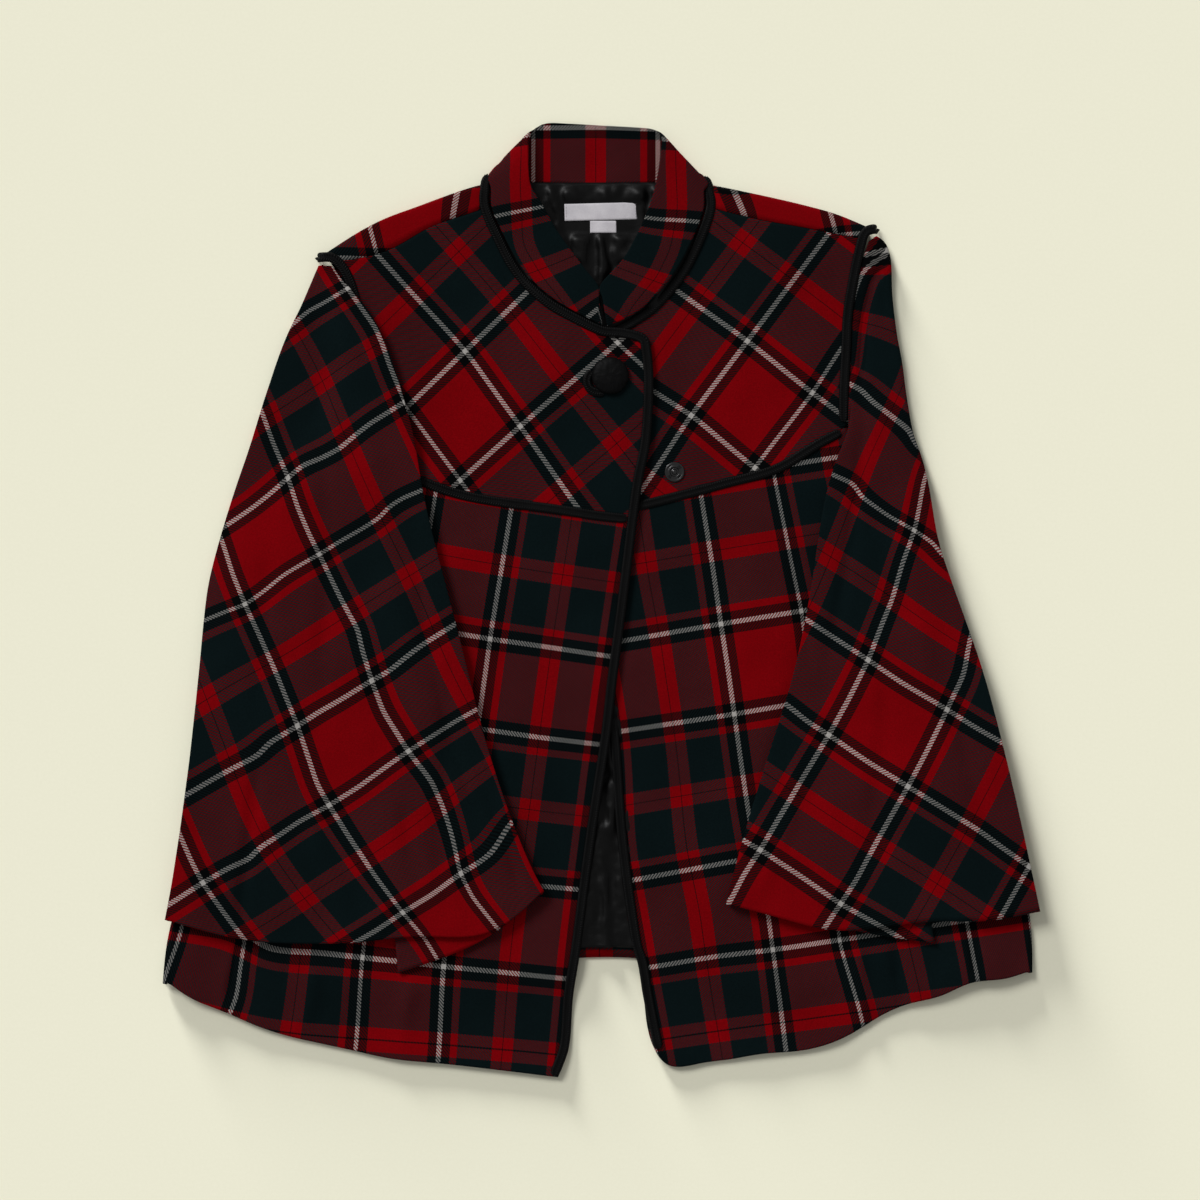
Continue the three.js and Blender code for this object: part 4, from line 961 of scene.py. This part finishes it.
def make_trim(name, tree, line, finish, sizes=None):
    """A plain mesh of a trim along a line of points in millimetres, thinner at a long line's ends."""
    mesh = bpy.data.meshes.new(name)
    mesh.from_pydata((np.array(line) * MM).tolist(), [(i, i + 1) for i in range(len(line) - 1)], [])
    mesh.attributes.new("up", "FLOAT_VECTOR", "POINT").data.foreach_set("vector", up_vectors(line).ravel())
    size = np.ones(len(line))
    if len(line) > 8:
        size[:3] = BRAID_TAPER
        size[-3:] = BRAID_TAPER[::-1]
    mesh.attributes.new("size", "FLOAT", "POINT").data.foreach_set("value", size)
    piece = link(name, mesh)
    modifier = piece.modifiers.new("shape", "NODES")
    modifier.node_group = tree
    values = {**(sizes or {}), "Finish": finish}
    for item in tree.interface.items_tree:
        if item.in_out == "INPUT" and item.name in values:
            modifier[item.identifier] = values[item.name]
    return finish_modifiers(piece)


def even_line(points, step):
    """A smooth line through the given points in plan or space, at even steps."""
    points = np.array(points, dtype=float)
    chords = np.concatenate([[0], np.cumsum(np.sqrt(np.linalg.norm(np.diff(points, axis=0), axis=1)))])
    last = len(points) - 1
    around = [(max(k - 1, 0), min(k + 1, last)) for k in range(len(points))]
    slopes = [(points[b] - points[a]) / (chords[b] - chords[a]) for a, b in around]
    fine = []
    for k in range(last):
        h = chords[k + 1] - chords[k]
        for t in np.linspace(0, 1, 24, endpoint=False):
            fine.append(
                (2 * t ** 3 - 3 * t ** 2 + 1) * points[k] + (t ** 3 - 2 * t ** 2 + t) * h * slopes[k]
                + (3 * t ** 2 - 2 * t ** 3) * points[k + 1] + (t ** 3 - t ** 2) * h * slopes[k + 1]
            )
    fine = np.array([*fine, points[-1]])
    run = np.concatenate([[0], np.cumsum(np.linalg.norm(np.diff(fine, axis=0), axis=1))])
    places = np.linspace(0, run[-1], max(2, round(run[-1] / step) + 1))
    return np.column_stack([np.interp(places, run, fine[:, k]) for k in range(fine.shape[1])])


def beside(points, distance):
    """A line in plan moved sideways, to the left of its run when positive."""
    run = np.gradient(points, axis=0)
    run /= np.linalg.norm(run, axis=1)[:, None]
    return points + distance * np.column_stack([-run[:, 1], run[:, 0]])


def top_reader(pieces):
    """The height of the cloth at a place in plan, in millimetres, or None beside it."""
    graph = bpy.context.evaluated_depsgraph_get()
    trees = [BVHTree.FromObject(piece, graph) for piece in pieces]

    def read(x, y):
        hits = [tree.ray_cast(Vector((x * MM, y * MM, 0.1)), Vector((0, 0, -1)))[0] for tree in trees]
        heights = [hit.z / MM for hit in hits if hit is not None]
        return max(heights) if heights else None

    return read


def lying_line(plan, top, lift, smoothing=5):
    """A line in plan laid on the cloth, lifted by a little and eased over steps."""
    plan = np.array(plan)
    heights = []
    for x, y in plan:
        reads = [top(x + dx, y + dy) for dx, dy in ((0, 0), (1.5, 0), (-1.5, 0), (0, 1.5), (0, -1.5))]
        reads = [height for height in reads if height is not None]
        heights.append(max(reads) if reads else np.nan)
    heights = np.array(heights)
    known = ~np.isnan(heights)
    heights = np.interp(np.arange(len(heights)), np.flatnonzero(known), heights[known])
    padded = np.pad(heights, smoothing, mode="edge")
    kernel = np.hanning(2 * smoothing + 3)[1:-1]
    eased = np.convolve(padded, kernel / kernel.sum(), mode="valid")
    return np.column_stack([plan, eased + lift])


def up_vectors(line):
    """The direction away from the cloth along a line: upwards, turned outwards where it runs down."""
    run = np.gradient(line, axis=0)
    run /= np.linalg.norm(run, axis=1)[:, None]
    up = np.array([0, 0, 1.0]) - run * run[:, 2:3]
    steep = np.linalg.norm(up, axis=1) < 0.05
    up[steep] = np.array([0, 1.0, 0])
    return up / np.linalg.norm(up, axis=1)[:, None]


# Hard pieces


def turned_piece(name, profile, segments, place, finish):
    """A round piece turned from a profile of (radius, height) in millimetres."""
    shape = bmesh.new()
    angles = [2 * math.pi * k / segments for k in range(segments)]
    rings = [
        [shape.verts.new((r * math.cos(angle), r * math.sin(angle), z)) for angle in (angles if r else [0])]
        for r, z in profile
    ]
    for low, high in zip(rings, rings[1:]):
        for k in range(segments):
            after = (k + 1) % segments
            if len(low) == 1:
                shape.faces.new((low[0], high[after], high[k]))
            elif len(high) == 1:
                shape.faces.new((low[k], low[after], high[0]))
            else:
                shape.faces.new((low[k], low[after], high[after], high[k]))
    bmesh.ops.recalc_face_normals(shape, faces=shape.faces)
    for vert in shape.verts:
        vert.co = (vert.co + Vector(place)) * MM
    mesh = bpy.data.meshes.new(name)
    shape.to_mesh(mesh)
    shape.free()
    return link(name, mesh, finish)


def cloth_button(finish, place):
    """The covered button, its cloth gathered round the rim and a little dented."""
    piece = turned_piece("cloth_button", BUTTON_PROFILE, 96, place, finish)
    modifier = piece.modifiers.new("smooth", "SUBSURF")
    modifier.levels = modifier.render_levels = 1
    finish_modifiers(piece)
    points = read_points(piece.data) / MM
    out = points[:, :2] - place[:2]
    radius = np.linalg.norm(out, axis=1)
    angle = np.arctan2(out[:, 1], out[:, 0])
    above = soft_step((points[:, 2] - place[2] - 0.5) / 2)
    gathers = 0.07 * np.sin(angle * 9 + 1.9 * np.sin(angle * 2)) + 0.05 * np.sin(angle * 5 + 2)
    gathers *= above * soft_step((radius - 8) / 6)
    dents = np.array([noise.fractal(Vector(point / 6), 0.8, 2.0, 3) for point in points])
    points[:, 2] += gathers + 0.45 * dents * above
    points[:, :2] += out * (1.3 * gathers / np.maximum(radius, 1e-6))[:, None]
    write_points(piece.data, points * MM)
    return piece


def cloth_label(name, place, size, turn, finish, top):
    """A woven label with soft folded ends, lying on the lining."""
    rows, columns = LABEL_GRID
    across, down = np.meshgrid(np.linspace(-1, 1, columns), np.linspace(-1, 1, rows))
    x = across.ravel() * size[0] / 2
    y = down.ravel() * size[1] / 2
    c, s = math.cos(math.radians(turn)), math.sin(math.radians(turn))
    plan = np.column_stack([c * x - s * y + place[0], s * x + c * y + place[1]])
    bow = top(*place) + 0.35 * np.sin(x / size[0] * 7 + 1) * np.cos(y / size[1] * 2)
    folded = soft_step((np.maximum(np.abs(across), np.abs(down)).ravel() - 0.9) / 0.1)
    upper = np.column_stack([plan, bow + 0.75 - 0.25 * folded])
    lower = np.column_stack([plan, bow + 0.25])
    return closed_sheet(name, upper, lower, rows, finish, rows_up=True)


wool = tartan_wool()
satin = black_satin()
braid, button_cloth, snap_lacquer = [dark_fibre(name, *values) for name, values in DARK_FIBRES.items()]
label_weave = white_label()

panels = {node: cloth_panel(node, wool) for node in CLOTH}
collar = collar_band(wool)
lining = satin_lining(satin)
pieces = {**{node: [piece] for node, piece in panels.items()}, "collar": [collar], "back_lining": [lining]}

# Braids on the neck and front edges, the yoke seams and the armholes
left_pieces = [panels[node] for node in ("yoke_left", "front_left", "back")]
left_top = top_reader(left_pieces)
front_top = top_reader([*left_pieces, panels["yoke_right"], panels["front_right"]])
braided = braid_tree()


def seam_line(seam, top, sideways=0):
    """A seam's line at even steps, moved sideways and laid on the cloth."""
    line = even_line(np.array(seam) + PLACE, BRAID_STEP)
    return lying_line(beside(line, sideways) if sideways else line, top, BRAID_LIFT)


braid_lines = {
    "front_right": seam_line(EDGE_RIGHT, front_top, -BRAID_INSET),
    "front_left": seam_line(EDGE_LEFT, left_top, BRAID_INSET),
    "yoke_right": seam_line(YOKE_SEAM_RIGHT, front_top),
    "yoke_left": seam_line(YOKE_SEAM_LEFT, left_top),
}
for side, shift in (("right", 0), ("left", ARMHOLE_SHIFT)):
    seam = seam_line(np.array(ARMHOLE_SEAMS[side]) + (shift, 0), front_top)
    turn = np.array(ARMHOLE_TURNS[side]) + (*PLACE, 0)
    braid_lines["armhole_" + side] = even_line([*turn, *seam[::3]], BRAID_STEP)
for place, line in braid_lines.items():
    cord = make_trim(f"braid_{place}_cord", braided, line, braid)
    pieces["braid_" + place] = [cord]

# Button, its buttonhole thread, the snap and the labels
pieces["button"] = [cloth_button(button_cloth, (*BUTTON_PLACE, front_top(*BUTTON_PLACE)))]
loop = lying_line(even_line(BUTTONHOLE, BRAID_STEP / 2), front_top, BUTTONHOLE_LIFT, 2)
pieces["buttonhole_binding"] = [make_trim("buttonhole_thread", braided, loop, braid, BUTTONHOLE_SIZES)]

thread = thread_tree()
snap_top = left_top(*SNAP_PLACE)
pieces["snap"] = [turned_piece("snap_half", SNAP_PROFILE, 64, (*SNAP_PLACE, snap_top), snap_lacquer)]
angles = [math.radians(45 + 90 * quarter) + shift for quarter in range(4) for shift in SNAP_STITCH_TURNS]
for k, angle in enumerate(angles):
    line = np.array([
        (SNAP_PLACE[0] + r * math.cos(angle), SNAP_PLACE[1] + r * math.sin(angle), snap_top + z)
        for r, z in SNAP_STITCH
    ])
    pieces["snap"].append(make_trim(f"snap_thread_{k}", thread, line, braid, SNAP_STITCH_SIZES))

lining_top = top_reader([lining])
label = cloth_label("neck_label", LABEL_PLACE, LABEL_SIZE, LABEL_TURN, label_weave, lining_top)
tag = cloth_label("small_tag", TAG_PLACE, TAG_SIZE, 0, label_weave, lining_top)
pieces["label"] = [label]
out, low, high = END_STITCHES
for side, shift in (("right", -out), ("left", out)):
    x = LABEL_PLACE[0] + shift
    z = lining_top(*LABEL_PLACE) + 1.0
    line = even_line([(x, low, z), (x, high, z)], 1)
    stitches = make_trim("label_stitches_" + side, thread, line, label_weave)
    pieces["label"].append(stitches)
pieces["size_tag"] = [tag]

for node, made in pieces.items():
    for piece in made:
        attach(piece, "root")
        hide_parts(node)

# Floor, light and camera
scene = bpy.context.scene
scene.view_settings.view_transform = "Standard"
camera_data = bpy.data.cameras.new("camera")
camera_data.lens = LENS
camera_data.sensor_width = SENSOR
camera = bpy.data.objects.new("camera", camera_data)
scene.collection.objects.link(camera)
camera.location = (*VIEW_CENTRE, FRAME_WIDTH * LENS / SENSOR + VIEW_HEIGHT)
scene.camera = camera

floor_mesh = bpy.data.meshes.new("floor")
corners = [(x * FLOOR, y * FLOOR, 0) for x, y in ((-1, -1), (1, -1), (1, 1), (-1, 1))]
floor_mesh.from_pydata(corners, [], [(0, 1, 2, 3)])
floor = link("floor", floor_mesh, pale_floor())


def lamp(name, kind, location, energy, **settings):
    data = bpy.data.lights.new(name, kind)
    data.energy = energy
    for key, value in settings.items():
        setattr(data, key, value)
    light = bpy.data.objects.new(name, data)
    scene.collection.objects.link(light)
    light.location = location
    light.rotation_euler = (-Vector(location)).to_track_quat("-Z", "Y").to_euler()
    return light


lamp("key", "SUN", KEY_PLACE, KEY_POWER, angle=math.radians(22))
low_lamp = lamp("low_lamp", "SUN", LOW_PLACE, LOW_POWER, angle=math.radians(12))
floor_only = bpy.data.collections.new("floor_only")
floor_only.objects.link(floor)
low_lamp.light_linking.receiver_collection = floor_only
world = bpy.data.worlds.new("studio")
scene.world = world
world.use_nodes = True
world.node_tree.nodes["Background"].inputs[0].default_value = (1, 1, 1, 1)
world.node_tree.nodes["Background"].inputs[1].default_value = SKY
